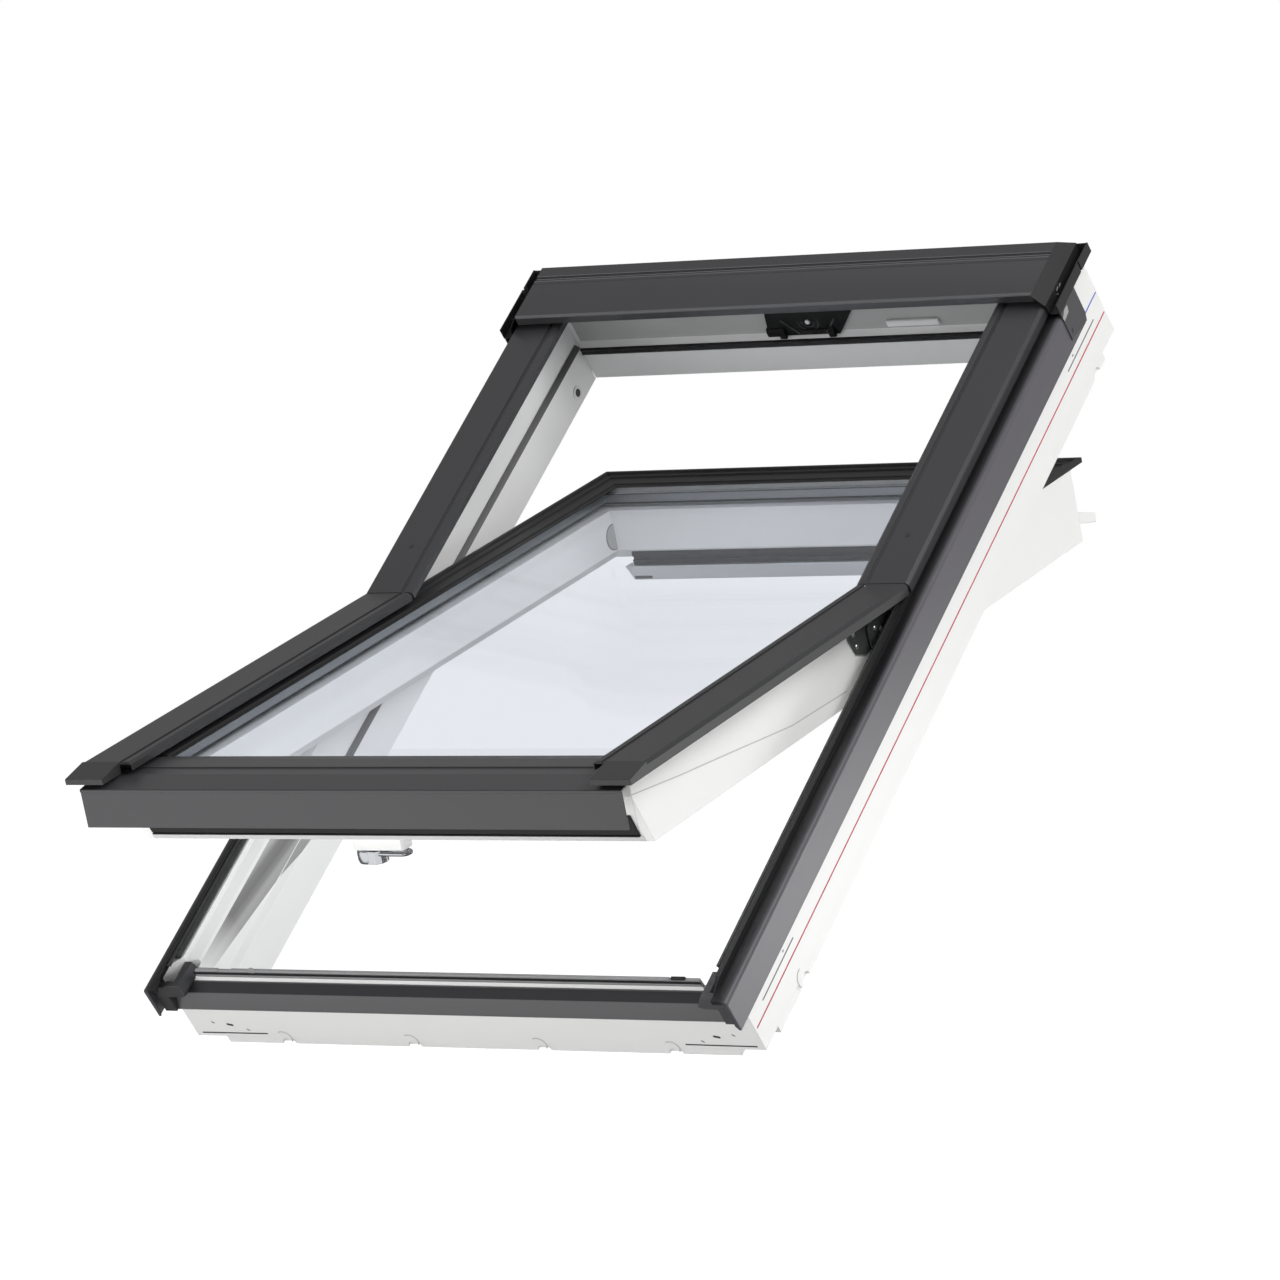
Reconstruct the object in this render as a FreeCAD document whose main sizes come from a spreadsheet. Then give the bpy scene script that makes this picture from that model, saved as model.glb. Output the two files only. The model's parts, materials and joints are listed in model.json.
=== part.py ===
import FreeCAD, Part
import os
import Sketcher

# A centre pivot roof window, shown open. Every piece is drawn in the coordinates of the shut window:
# X across the frame from its centre line, Y up the slope from the outer face of the bottom member,
# Z outwards from the room-side plane. The placements lay the frame at the roof pitch and turn the
# sash open about the pivot axis. The origin is on the outer face of the bottom member, at the
# height of the roof battens.

SIZES = [
    ("roof_pitch", 45, "angle of the roof"),
    ("opening_angle", 26, "turn of the sash from shut"),
    ("batten_height", 32, "height of the fixing line over the room-side plane"),
    ("pivot_along", 606, "pivot axis, up the slope"),
    ("pivot_rise", 19, "pivot axis, over the side members"),
    ("frame_width", 780, "outside width of the frame"),
    ("frame_length", 1178, "outside length of the frame"),
    ("frame_depth", 110, "depth of the side and top members"),
    ("member_width", 40, "width of a side member at the room side"),
    ("top_width", 37, "width of the top member at the room side"),
    ("top_recess", 6, "set-back of the upper part of its inner face"),
    ("top_seal_height", 39, "height of the seal on the inner face of the top member"),
    ("lip_drop", 13, "drop of the room-side lip"),
    ("lip_inset", 2.5, "set-back of the lip from the outer faces"),
    ("lip_stop", 38, "distance from a corner to the end of a lip"),
    ("rebate_width", 24, "width of the gasket seat on a side member"),
    ("rebate_drop", 8, "drop from the gasket seat to the side rebate"),
    ("shoulder_height", 45, "height of the shoulder inside a side or top member"),
    ("shoulder_depth", 6, "set-back above that shoulder"),
    ("sill_drop", 20.5, "drop from the side members to the bottom member under its cladding"),
    ("cladding_seat", 2.5, "width of the seat of the bottom cladding"),
    ("sill_width", 14, "width of the top of the bottom member"),
    ("sill_rebate", 1.5, "set-back of the bottom member behind its cladding"),
    ("rebate_gap", 2.6, "start of that set-back below the cladding"),
    ("sheet", 1.5, "thickness of the cladding sheet"),
    ("leg_gap", 6.8, "gap between a side member and its cladding leg"),
    ("leg_height", 47, "height of the cladding leg"),
    ("cladding_flat", 18.8, "width of the top of the side cladding"),
    ("upstand_rise", 6, "rise of the upstand over the side cladding"),
    ("seal_rise", 7, "height of the seal beside the upstand"),
    ("seal_crown", 5.5, "ridge of that seal, from its inner edge"),
    ("seal_start", 5, "lower end of that seal, up the slope"),
    ("top_seal_width", 10, "width of the seal on the top member"),
    ("top_seal_lip", 4, "reach of that seal"),
    ("strip_low", 10, "lower edge of the strip on the bottom sash member, over the sash"),
    ("strip_height", 27, "height of that strip"),
    ("strip_foot", 4.524, "set-out of its lower edge along the slanted face"),
    ("strip_head", 16.738, "set-out of its upper edge along the slanted face"),
    ("strip_inset", 14, "end of that strip, from the side of the sash"),
    ("bead_reach", 1, "reach of the bead of the bottom cover"),
    ("rail_rise", 14, "height of the seal rail on the sill"),
    ("rail_width", 6.5, "width of the seal rail"),
    ("rail_lip", 4, "height of its lip"),
    ("cladding_front", 28.6, "reach of the side cladding beyond the bottom member"),
    ("cladding_stop", 58, "upper end of the side cladding, from the upper end of the frame"),
    ("cladding_hem", 6, "width of the hem at the lower end of the side cladding"),
    ("upstand_start", 7, "lower end of the upstand, over the end of the cladding"),
    ("upstand_slope", 29, "length over which the upstand rises"),
    ("apron_reach", 17.8, "reach of the lower edge of the bottom cladding"),
    ("apron_bend", 7.9, "reach of the bend of the bottom cladding"),
    ("apron_drop", 44.4, "drop from the side members to the lower edge of the bottom cladding"),
    ("apron_bend_drop", 26.4, "drop from the side members to the bend of the bottom cladding"),
    ("apron_inset", 15, "end of the bottom cladding, from the side of the frame"),
    ("cover_inset", 8.2, "outer edge of the side covers, from the side of the frame"),
    ("cover_bevel", 3.8, "bevel along the outer edge of a side cover"),
    ("cover_slope", 38, "length of the sloped lower end of a lower cover"),
    ("cover_drop", 7.5, "drop of that sloped end"),
    ("cover_rise", 19.5, "height of the side covers over the side members"),
    ("cover_flange", 14.5, "depth of the outer flange of a side cover"),
    ("cover_flat", 52.8, "width of the flat of a side cover"),
    ("groove_width", 5.4, "width of the groove of a side cover"),
    ("groove_depth", 2.3, "depth of that groove"),
    ("strip_width", 11.3, "width of the inner strip of a side cover"),
    ("strip_fall", 2.6, "fall of that strip"),
    ("cover_edge", 8, "depth of the inner edge of a side cover"),
    ("cover_end", 31.8, "reach of the lower covers beyond the bottom member"),
    ("cover_lap", 26, "length of the upper covers under the hood"),
    ("cover_joint", 1, "gap between the upper and lower covers"),
    ("hood_setback", 98, "front edge of the hood, from the upper end of the frame"),
    ("hood_rise", 39, "height of the hood over the side members"),
    ("hood_lip", 13, "depth of the front lip of the hood"),
    ("hood_face", 62, "width of the front face of the hood"),
    ("hood_groove", 13, "width of the groove of the hood"),
    ("hood_flat", 18, "width of the hood behind its groove"),
    ("hood_overhang", 12, "reach of the hood beyond the frame"),
    ("hood_fall", 19, "fall of the back edge of the hood"),
    ("hood_inset", 19, "end of the hood, from the side of the frame"),
    ("cap_rise", 7, "underside of an end cap of the hood, over the side members"),
    ("cap_flange", 14.5, "height of the outer flange of an end cap"),
    ("cap_reach", 3, "reach of an end cap in front of the hood"),
    ("cap_notch", 3, "width of the notch in the flange of an end cap"),
    ("cap_notch_along", 73, "that notch, from the front of the hood"),
    ("sash_gap", 45, "side of the sash, from the side of the frame"),
    ("sash_member", 45, "width of a sash member"),
    ("sash_chamfer", 13, "chamfer of its inner edge at the room side"),
    ("sash_depth", 91, "depth of the sash members"),
    ("sash_front", 47, "outer edge of the bottom sash member at the room side"),
    ("sash_slant", 28.5, "set-out of its slanted face"),
    ("sash_slant_drop", 28, "drop from the outer edge of the sash to the end of that slant"),
    ("sash_setback", 86.5, "outer face of the top sash member, from the upper end of the frame"),
    ("sash_rebate_depth", 25, "depth of the glass rebate"),
    ("sash_rise", 2, "height of the outer edge of the sash over the side members"),
    ("sash_edge", 12, "width of the sash outside the glass"),
    ("glass_drop", 1, "drop from the outer edge of the sash to the outer face of the glass"),
    ("pane", 4, "thickness of one pane"),
    ("spacer_height", 14, "gap between the panes"),
    ("spacer_width", 8, "width of the spacer bar"),
    ("spacer_inset", 12, "spacer from the edge of the glass"),
    ("glass_front", 55, "lower edge of the glass"),
    ("pane_gap", 1.5, "gap round the glass"),
    ("rib_depth", 4, "depth of the rib under the bottom cover"),
    ("glass_setback", 13.5, "upper edge of the glass, from the outer face of the sash"),
    ("rim_front", 71, "lower end of the glazing rims"),
    ("rim_overhang", 31.5, "reach of the top glazing rim beyond the sash"),
    ("rim_back_width", 48, "width of the top glazing rim"),
    ("front_face", 28.7, "reach of the bottom cover"),
    ("front_depth", 46.7, "depth of the front face of the bottom cover"),
    ("front_drop", 3, "drop from the outer edge of the sash to its front face"),
    ("front_bead", 4, "height of the bead along that edge"),
    ("front_inset", 24.2, "end of the bottom cover, from the side of the frame"),
    ("front_fold", 8, "upper end of its slope, up the slope"),
    ("front_rise", 2.5, "height of its flat over the sash"),
    ("front_channel", 22, "width of its channel"),
    ("front_flat", 26, "width of its flat behind the channel"),
    ("front_lap", 14, "width of its edge on the glass"),
    ("rim_width", 43, "width of the glazing rim"),
    ("rim_rise", 6.5, "height of the glazing rim over the sash"),
    ("rim_bead", 5.5, "width of the outer bead of the rim"),
    ("rim_step", 2, "height of the steps of the rim"),
    ("clip_thickness", 0.9, "thickness of the clip plates at the hood"),
    ("clip_strip", 17, "width of the raised strip of a clip plate"),
    ("striker_width", 148, "width of the lower edge of the lock striker"),
    ("striker_centre", 22, "that edge, across the frame"),
    ("striker_slant", 33, "set-out of the right end of the striker"),
    ("striker_height", 27, "height of the striker plate"),
    ("hook_spacing", 102, "distance between the hooks of the striker"),
    ("hook_width", 10, "width of a hook"),
    ("hook_reach", 16, "reach of a hook"),
    ("boss_radius", 8, "radius of the boss of the striker"),
    ("striker_thickness", 4, "thickness of the striker plate"),
    ("bar_length", 62, "length of the small bar beside the striker"),
    ("bar_centre", 150, "small bar, across the frame"),
    ("bushing_radius", 9, "outer radius of a bolt bushing"),
    ("bushing_setback", 47, "bolt bushings, from the inner face of the top member"),
    ("bushing_height", 5, "bolt bushings, over the room-side plane"),
    ("bushing_wall", 4, "wall of a bolt bushing"),
    ("flap_reach", 42, "reach of the vent flap beyond the sash"),
    ("flap_root", 22, "root of the vent flap, over the sash"),
    ("vent_seal_width", 22, "width of the seal over the control bar"),
    ("vent_seal_depth", 8, "drop of that seal under the sash"),
    ("control_bar_length", 584, "length of the control bar"),
    ("control_bar_slant", 11, "slant of the ends of the control bar"),
    ("control_bar_depth", 18, "depth of the control bar"),
    ("control_bar_width", 16, "width of the control bar"),
    ("handle_centre", -31, "handle, across the sash"),
    ("handle_width", 70, "length of the handle"),
    ("handle_base_depth", 16, "depth of the handle base"),
    ("handle_along", 54, "lower edge of the handle base, up the slope"),
    ("handle_base_width", 22, "width of the handle base"),
    ("handle_radius", 9, "radius of the barrel of the handle"),
    ("handle_barrel", 42, "length of that barrel"),
    ("lever_width", 14, "width of the lever of the handle"),
    ("lever_depth", 7, "thickness of the lever"),
    ("hinge_thickness", 2.5, "thickness of the hinge plates"),
    ("hinge_gap", 1.5, "gap between the two plates of a hinge"),
    ("block_reach", 21, "reach of a corner block beyond the bottom member"),
    ("block_length", 22, "upper end of a corner block, up the slope"),
    ("block_rise", 13.5, "height of a corner block over the sill"),
    ("block_width", 14, "width of the top of a corner block"),
    ("block_side", 6, "set-out of its slanted inner side"),
    ("block_plate", 12, "thickness of its front plate"),
    ("recess_radius", 9, "radius of the fixing recesses in the lips"),
    ("recess_depth", 4, "depth of those recesses"),
    ("recess_inner", 89, "inner recesses of the bottom lip, from the centre line"),
    ("recess_outer", 266, "outer recesses of the bottom lip, from the centre line"),
    ("recess_end", 67, "recess of a side lip, from the upper end of the frame"),
    ("recess_start", 118, "recess of a side lip, from the lower end of the frame"),
]

doc = FreeCAD.newDocument("CentrePivotWindow")
sheet = doc.addObject("Spreadsheet::Sheet", "Sizes")


class Size:
    """A driving size or a sum of such sizes: its number, and the formula that the document keeps."""

    def __init__(self, number, formula):
        self.number = number
        self.formula = formula

    def __add__(self, other):
        return Size(self.number + as_size(other).number, f"({self.formula} + {as_size(other).formula})")

    def __radd__(self, other):
        return as_size(other) + self

    def __sub__(self, other):
        return Size(self.number - as_size(other).number, f"({self.formula} - {as_size(other).formula})")

    def __rsub__(self, other):
        return as_size(other) - self

    def __mul__(self, factor):
        return Size(self.number * factor, f"({self.formula} * {factor})")

    __rmul__ = __mul__

    def __neg__(self):
        return self * -1


def as_size(item):
    """A bare number as a Size."""
    if isinstance(item, Size):
        return item
    return Size(item, f"({item})")


def read_sizes():
    """Writes the driving sizes into the sheet and returns them by name."""
    named = {}
    for row, (alias, number, note) in enumerate(SIZES, start=1):
        sheet.set(f"A{row}", alias)
        sheet.set(f"B{row}", str(number))
        sheet.set(f"C{row}", note)
        sheet.setAlias(f"B{row}", alias)
        named[alias] = Size(number, f"Sizes.{alias}")
    return named


s = read_sizes()
doc.recompute()

FRAME_TURN = "Sizes.roof_pitch"
SASH_TURN = "(Sizes.roof_pitch - Sizes.opening_angle)"


def turned_pivot(turn):
    """The pivot axis turned about the document's X axis, as two formulas."""
    along = f"(Sizes.pivot_along * cos({turn}) - {pivot_height.formula} * sin({turn}))"
    height = f"(Sizes.pivot_along * sin({turn}) + {pivot_height.formula} * cos({turn}))"
    return along, height


def place(piece, on_sash):
    """Lays a piece at the roof pitch, and turns a piece of the sash open about the pivot."""
    turn = SASH_TURN if on_sash else FRAME_TURN
    shut = turned_pivot(FRAME_TURN)
    turned = turned_pivot(turn)
    piece.Placement = FreeCAD.Placement(FreeCAD.Vector(), FreeCAD.Rotation(FreeCAD.Vector(1, 0, 0), 30))
    piece.setExpression("Placement.Rotation.Angle", turn)
    piece.setExpression("Placement.Base.y", f"Sizes.batten_height * sin({FRAME_TURN}) + {shut[0]} - {turned[0]}")
    piece.setExpression("Placement.Base.z", f"-Sizes.batten_height * cos({FRAME_TURN}) + {shut[1]} - {turned[1]}")


def new_body(name, on_sash):
    """An empty body that carries the node's name."""
    body = doc.addObject("PartDesign::Body", name)
    body.Label = name
    place(body, on_sash)
    return body


def sketch_on(body, role, offset=None):
    """A sketch on one of the body's own origin planes, moved along the plane's normal."""
    sketch = body.newObject("Sketcher::SketchObject", body.Name + "Sketch")
    plane = [item for item in body.Origin.OriginFeatures if item.Role == role][0]
    sketch.AttachmentSupport = [(plane, "")]
    sketch.MapMode = "FlatFace"
    if offset is not None:
        sketch.AttachmentOffset = FreeCAD.Placement(FreeCAD.Vector(0, 0, offset.number), FreeCAD.Rotation())
        sketch.setExpression("AttachmentOffset.Base.z", offset.formula)
    return sketch


def fix_point(sketch, line, corner):
    """Ties the start of a line to its two formulas."""
    for kind, item in (("DistanceX", corner[0]), ("DistanceY", corner[1])):
        item = as_size(item)
        index = sketch.addConstraint(Sketcher.Constraint(kind, -1, 1, line, 1, item.number))
        sketch.setExpression(f"Constraints[{index}]", item.formula)


def draw_outline(sketch, corners):
    """A closed outline of straight lines through corners given as pairs of sizes."""
    first = sketch.GeometryCount
    count = len(corners)
    vectors = [FreeCAD.Vector(as_size(a).number, as_size(b).number, 0) for a, b in corners]
    for index in range(count):
        sketch.addGeometry(Part.LineSegment(vectors[index], vectors[(index + 1) % count]))
    for index in range(count):
        following = (index + 1) % count
        sketch.addConstraint(Sketcher.Constraint("Coincident", first + index, 2, first + following, 1))
    for index, corner in enumerate(corners):
        fix_point(sketch, first + index, corner)


def draw_circle(sketch, middle, radius):
    """A circle given by the sizes of its centre and radius."""
    vector = FreeCAD.Vector(as_size(middle[0]).number, as_size(middle[1]).number, 0)
    index = sketch.addGeometry(Part.Circle(vector, FreeCAD.Vector(0, 0, 1), as_size(radius).number))
    for kind, item in (("DistanceX", middle[0]), ("DistanceY", middle[1])):
        item = as_size(item)
        tie = sketch.addConstraint(Sketcher.Constraint(kind, -1, 1, index, 3, item.number))
        sketch.setExpression(f"Constraints[{tie}]", item.formula)
    tie = sketch.addConstraint(Sketcher.Constraint("Radius", index, as_size(radius).number))
    sketch.setExpression(f"Constraints[{tie}]", as_size(radius).formula)


def pad(body, sketch, length, reverse=False):
    """Pads a sketch by a size."""
    feature = body.newObject("PartDesign::Pad", body.Name + "Pad")
    feature.Profile = sketch
    feature.Length = length.number
    feature.setExpression("Length", length.formula)
    feature.Reversed = reverse
    return feature


def pad_up_slope(body, corners, start, end):
    """Pads an outline of (x, z) corners along Y from start to end."""
    sketch = sketch_on(body, "XZ_Plane", -as_size(start))
    draw_outline(sketch, corners)
    return pad(body, sketch, as_size(end) - start, reverse=True)


def pad_across(body, corners, start, end):
    """Pads an outline of (y, z) corners along X from start to end."""
    sketch = sketch_on(body, "YZ_Plane", as_size(start))
    draw_outline(sketch, corners)
    return pad(body, sketch, as_size(end) - start)


def pad_outward(body, corners, start, end):
    """Pads an outline of (x, y) corners along Z from start to end."""
    sketch = sketch_on(body, "XY_Plane", as_size(start))
    draw_outline(sketch, corners)
    return pad(body, sketch, as_size(end) - start)


def cut_through(body, sketch):
    """Cuts a sketch through the whole body, both ways."""
    feature = body.newObject("PartDesign::Pocket", body.Name + "Pocket")
    feature.Profile = sketch
    feature.Type = "ThroughAll"
    feature.SideType = "Symmetric"
    return feature


def cut_outline(body, corners):
    """Cuts an outline of (x, y) corners through the whole body along Z."""
    sketch = sketch_on(body, "XY_Plane")
    draw_outline(sketch, corners)
    return cut_through(body, sketch)


def cut_across(body, corners):
    """Cuts an outline of (y, z) corners through the whole body along X."""
    sketch = sketch_on(body, "YZ_Plane")
    draw_outline(sketch, corners)
    return cut_through(body, sketch)


def cut_recesses(body, role, offset, centres, reverse=False):
    """Sinks the round fixing recesses of a lip from its outer face."""
    sketch = sketch_on(body, role, offset)
    for centre in centres:
        draw_circle(sketch, centre, s["recess_radius"])
    feature = body.newObject("PartDesign::Pocket", body.Name + "Recess")
    feature.Profile = sketch
    feature.Length = s["recess_depth"].number
    feature.setExpression("Length", s["recess_depth"].formula)
    feature.Reversed = reverse
    return feature


def pad_across_side(body, corners, low, high, side):
    """Pads an outline of (y, z) corners between two distances from the centre line, on one side."""
    if side > 0:
        return pad_across(body, corners, low, high)
    return pad_across(body, corners, -as_size(high), -as_size(low))


def mirrored(corners, side):
    """The (x, z) or (x, y) corners of the right side, or the same for the left side."""
    return [(as_size(a) * side, b) for a, b in corners]


half_width = s["frame_width"] * 0.5
inner_edge = half_width - s["member_width"]
lining_top = s["frame_length"] - s["top_width"]
sill_seat = s["frame_depth"] - s["sill_drop"]
sill = sill_seat + s["sheet"]
apron_low = s["frame_depth"] - s["apron_drop"]
apron_high = s["frame_depth"] - s["apron_bend_drop"]
pivot_height = s["frame_depth"] + s["pivot_rise"]
cover_top = s["frame_depth"] + s["cover_rise"]
hood_top = s["frame_depth"] + s["hood_rise"]
cap_floor = s["frame_depth"] + s["cap_rise"]
sash_outer = s["frame_depth"] + s["sash_rise"]
sash_low = sash_outer - s["sash_depth"]
slant_height = sash_outer - s["sash_slant_drop"]
glass_rebate = sash_outer - s["sash_rebate_depth"]
glass_outer = sash_outer - s["glass_drop"]
front_high = sash_outer - s["front_drop"]
front_low = front_high - s["front_depth"]
cladding_edge = half_width + s["leg_gap"] + s["sheet"]
cladding_top = s["frame_depth"] + s["sheet"]
sash_half = half_width - s["sash_gap"]
sash_back = s["frame_length"] - s["sash_setback"]
glass_back = sash_back - s["glass_setback"]
cover_half = half_width - s["cover_inset"]
hood_front = s["frame_length"] - s["hood_setback"]
hood_back = s["frame_length"] + s["hood_overhang"]
hood_half = half_width - s["hood_inset"]
SIDES = (("left", -1), ("right", 1))


def frame_sides():
    """The two side members, mitred at both ends, with the rebate for the sash and the room-side lip."""
    seat = half_width - s["rebate_width"]
    recess = inner_edge + s["shoulder_depth"]
    outline = [
        (half_width, 0),
        (half_width, s["frame_depth"]),
        (seat, s["frame_depth"]),
        (seat, s["frame_depth"] - s["rebate_drop"]),
        (recess, s["frame_depth"] - s["rebate_drop"] - s["shoulder_depth"]),
        (recess, s["shoulder_height"]),
        (inner_edge, s["shoulder_height"] - s["shoulder_depth"]),
        (inner_edge, 0),
    ]
    lip = [
        (half_width - s["lip_inset"], -s["lip_drop"]),
        (half_width - s["lip_inset"], 0),
        (inner_edge, 0),
        (inner_edge, -s["lip_drop"]),
    ]
    for name, side in SIDES:
        body = new_body(f"frame_{name}_side", False)
        pad_up_slope(body, mirrored(outline, side), as_size(0), s["frame_length"])
        pad_up_slope(body, mirrored(lip, side), s["lip_stop"], s["frame_length"] - s["lip_stop"])
        cut_outline(body, mirrored([(half_width, 0), (inner_edge, s["member_width"]), (inner_edge, 0)], side))
        cut_outline(body, mirrored([
            (half_width, s["frame_length"]),
            (inner_edge, lining_top),
            (inner_edge, s["frame_length"]),
        ], side))
        cut_recesses(body, "YZ_Plane", (half_width - s["lip_inset"]) * side, [
            (s["recess_start"], -s["lip_drop"]),
            (s["frame_length"] - s["recess_end"], -s["lip_drop"]),
        ], side < 0)


def frame_ends():
    """The bottom member with its slanted inner face, and the top member with its step."""
    body = new_body("frame_bottom", False)
    seat = s["sheet"] * 2 + s["cladding_seat"]
    pad_across(body, [
        (0, 0),
        (0, apron_low - s["rebate_gap"]),
        (s["sill_rebate"], apron_low - s["rebate_gap"]),
        (s["sill_rebate"], sill_seat - s["cladding_seat"] - s["sheet"]),
        (seat - s["sheet"] * 0.5, sill_seat),
        (seat, sill_seat),
        (seat, sill),
        (s["sill_width"], sill),
        (s["member_width"], sash_low),
        (s["member_width"], 0),
    ], -half_width, half_width)
    lip_half = half_width - s["lip_stop"]
    pad_across(body, [
        (s["lip_inset"], 0),
        (s["member_width"], 0),
        (s["member_width"], -s["lip_drop"]),
        (s["lip_inset"], -s["lip_drop"]),
    ], -lip_half, lip_half)
    for name, side in SIDES:
        cut_outline(body, mirrored([(half_width, 0), (inner_edge, s["member_width"]),
                                    (half_width, s["member_width"])], side))
    cut_recesses(body, "XZ_Plane", -s["lip_inset"], [
        (s["recess_outer"], -s["lip_drop"]),
        (s["recess_inner"], -s["lip_drop"]),
        (-s["recess_inner"], -s["lip_drop"]),
        (-s["recess_outer"], -s["lip_drop"]),
    ])
    body = new_body("frame_top", False)
    back = lining_top + s["top_recess"]
    pad_across(body, [
        (s["frame_length"], 0),
        (s["frame_length"], s["frame_depth"]),
        (back, s["frame_depth"]),
        (back, s["shoulder_height"]),
        (lining_top, s["shoulder_height"] - s["top_recess"]),
        (lining_top, 0),
    ], -half_width, half_width)
    pad_across(body, [
        (s["frame_length"] - s["lip_inset"], 0),
        (lining_top, 0),
        (lining_top, -s["lip_drop"]),
        (s["frame_length"] - s["lip_inset"], -s["lip_drop"]),
    ], -lip_half, lip_half)
    for name, side in SIDES:
        cut_outline(body, mirrored([(half_width, s["frame_length"]), (inner_edge, lining_top),
                                    (half_width, lining_top)], side))


def frame_cladding():
    """Side cladding with leg, hem and upstand, the bent bottom cladding and the seal rail."""
    low = cladding_top - s["leg_height"]
    upstand = cladding_edge - s["cladding_flat"]
    rise = cladding_top + s["upstand_rise"]
    front = -s["cladding_front"]
    hem = s["cladding_hem"]
    for name, side in SIDES:
        body = new_body(f"frame_cladding_{name}", False)
        pad_up_slope(body, mirrored([
            (cladding_edge, low),
            (cladding_edge, cladding_top),
            (upstand, cladding_top),
            (upstand, rise),
            (upstand - s["sheet"], rise),
            (upstand - s["sheet"], s["frame_depth"]),
            (cladding_edge - s["sheet"], s["frame_depth"]),
            (cladding_edge - s["sheet"], low),
        ], side), front, s["frame_length"] - s["cladding_stop"])
        pad_up_slope(body, mirrored([
            (cladding_edge, low),
            (cladding_edge, cladding_top),
            (upstand - s["sheet"], cladding_top),
            (upstand - s["sheet"], cladding_top - hem),
            (cladding_edge - hem, cladding_top - hem),
            (cladding_edge - hem, low + hem),
            (cladding_edge - hem * 0.5, low),
        ], side), front, front + s["sheet"])
        foot = front + s["upstand_start"]
        cut_across(body, [
            (front - s["sheet"], cladding_top),
            (foot, cladding_top),
            (foot + s["upstand_slope"] * 0.4, cladding_top + s["upstand_rise"] * 0.75),
            (foot + s["upstand_slope"], rise),
            (front - s["sheet"], rise),
        ])
    body = new_body("frame_cladding_bottom", False)
    turn = s["sheet"] * 2
    end = turn + s["cladding_seat"]
    pad_across(body, [
        (-s["apron_reach"], apron_low),
        (-s["apron_bend"], apron_high),
        (turn, sill),
        (end, sill),
        (end, sill_seat),
        (end - s["sheet"] * 0.5, sill_seat),
        (-s["apron_bend"] + s["sheet"], apron_high - s["sheet"]),
        (-s["apron_reach"] + s["sheet"], apron_low),
    ], s["apron_inset"] - half_width, half_width - s["apron_inset"])
    body = new_body("sill_seal_rail", False)
    head = sill + s["rail_rise"]
    back = s["sill_width"] - s["sheet"] * 0.5
    pad_across(body, [
        (back - s["rail_width"], sill),
        (back - s["rail_width"] + 1, head - s["rail_lip"] * 2),
        (back - s["rail_width"], head - s["rail_lip"] * 1.5),
        (back - s["rail_width"] + 1, head - s["rail_lip"]),
        (back - s["rail_width"] + 1.5, head),
        (back - 1.5, head),
        (back, sill),
    ], -sash_half, sash_half)


def cover_outline():
    """The section of a side cover: outer flange, bevel, flat, groove and inner strip."""
    top = cover_top
    bevel = s["cover_bevel"]
    flat_end = cover_half - s["cover_flat"]
    groove_end = flat_end - s["groove_width"]
    inner = groove_end - s["strip_width"]
    under = top - s["groove_depth"] - s["sheet"]
    return [
        (cover_half, top - s["cover_flange"]),
        (cover_half, top - bevel),
        (cover_half - bevel, top),
        (flat_end, top),
        (flat_end, top - s["groove_depth"]),
        (groove_end, top - s["groove_depth"]),
        (groove_end, top),
        (groove_end - s["strip_width"] * 0.6, top),
        (inner, top - s["strip_fall"]),
        (inner, top - s["strip_fall"] - s["cover_edge"]),
        (inner + s["sheet"], top - s["strip_fall"] - s["cover_edge"]),
        (inner + s["sheet"], under),
        (flat_end + s["sheet"], under),
        (flat_end + s["sheet"], top - s["sheet"]),
        (cover_half - bevel - s["sheet"] * 0.5, top - s["sheet"]),
        (cover_half - s["sheet"], top - bevel - s["sheet"] * 0.5),
        (cover_half - s["sheet"], top - s["cover_flange"]),
    ]


def cover_leg(leg, foot):
    """The section of the leg that carries a side cover."""
    under = cover_top - s["sheet"]
    return [(leg, under), (leg, foot), (leg - s["sheet"], foot), (leg - s["sheet"], under)]


def sloped_end(body, side):
    """The sloped lower end of a lower cover, with the flanges at its two sides and its end lip."""
    top = cover_top
    front = -s["cover_end"]
    back = front + s["cover_slope"]
    low = top - s["cover_flange"]
    inner = cover_half - s["cover_flat"]
    pad_across_side(body, [
        (front, low),
        (front, top - s["cover_drop"]),
        (back, top),
        (back, top - s["sheet"]),
        (front + s["sheet"], top - s["cover_drop"] - s["sheet"]),
        (front + s["sheet"], low),
    ], inner, cover_half, side)
    flange = [(front, low), (front, top - s["cover_drop"]), (back, top), (back, low)]
    pad_across_side(body, flange, cover_half - s["sheet"], cover_half, side)
    pad_across_side(body, flange, inner, inner + s["sheet"], side)


def covers():
    """Upper side covers on the frame and lower ones on the sash, each with the leg that carries it."""
    for name, side in SIDES:
        body = new_body(f"upper_cover_{name}", False)
        start = s["pivot_along"] + s["cover_joint"]
        end = hood_front + s["cover_lap"]
        pad_up_slope(body, mirrored(cover_outline(), side), start, end)
        leg = half_width - s["rebate_width"] * 0.75
        pad_up_slope(body, mirrored(cover_leg(leg, s["frame_depth"]), side), start, end)
        body = new_body(f"sash_cover_{name}", True)
        start = s["cover_slope"] - s["cover_end"]
        pad_up_slope(body, mirrored(cover_outline(), side), start, s["pivot_along"])
        leg = sash_half - s["sheet"]
        foot = sash_outer + s["rim_rise"]
        pad_up_slope(body, mirrored(cover_leg(leg, foot), side), s["rim_front"] + s["cover_joint"], s["pivot_along"])
        sloped_end(body, side)


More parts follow.
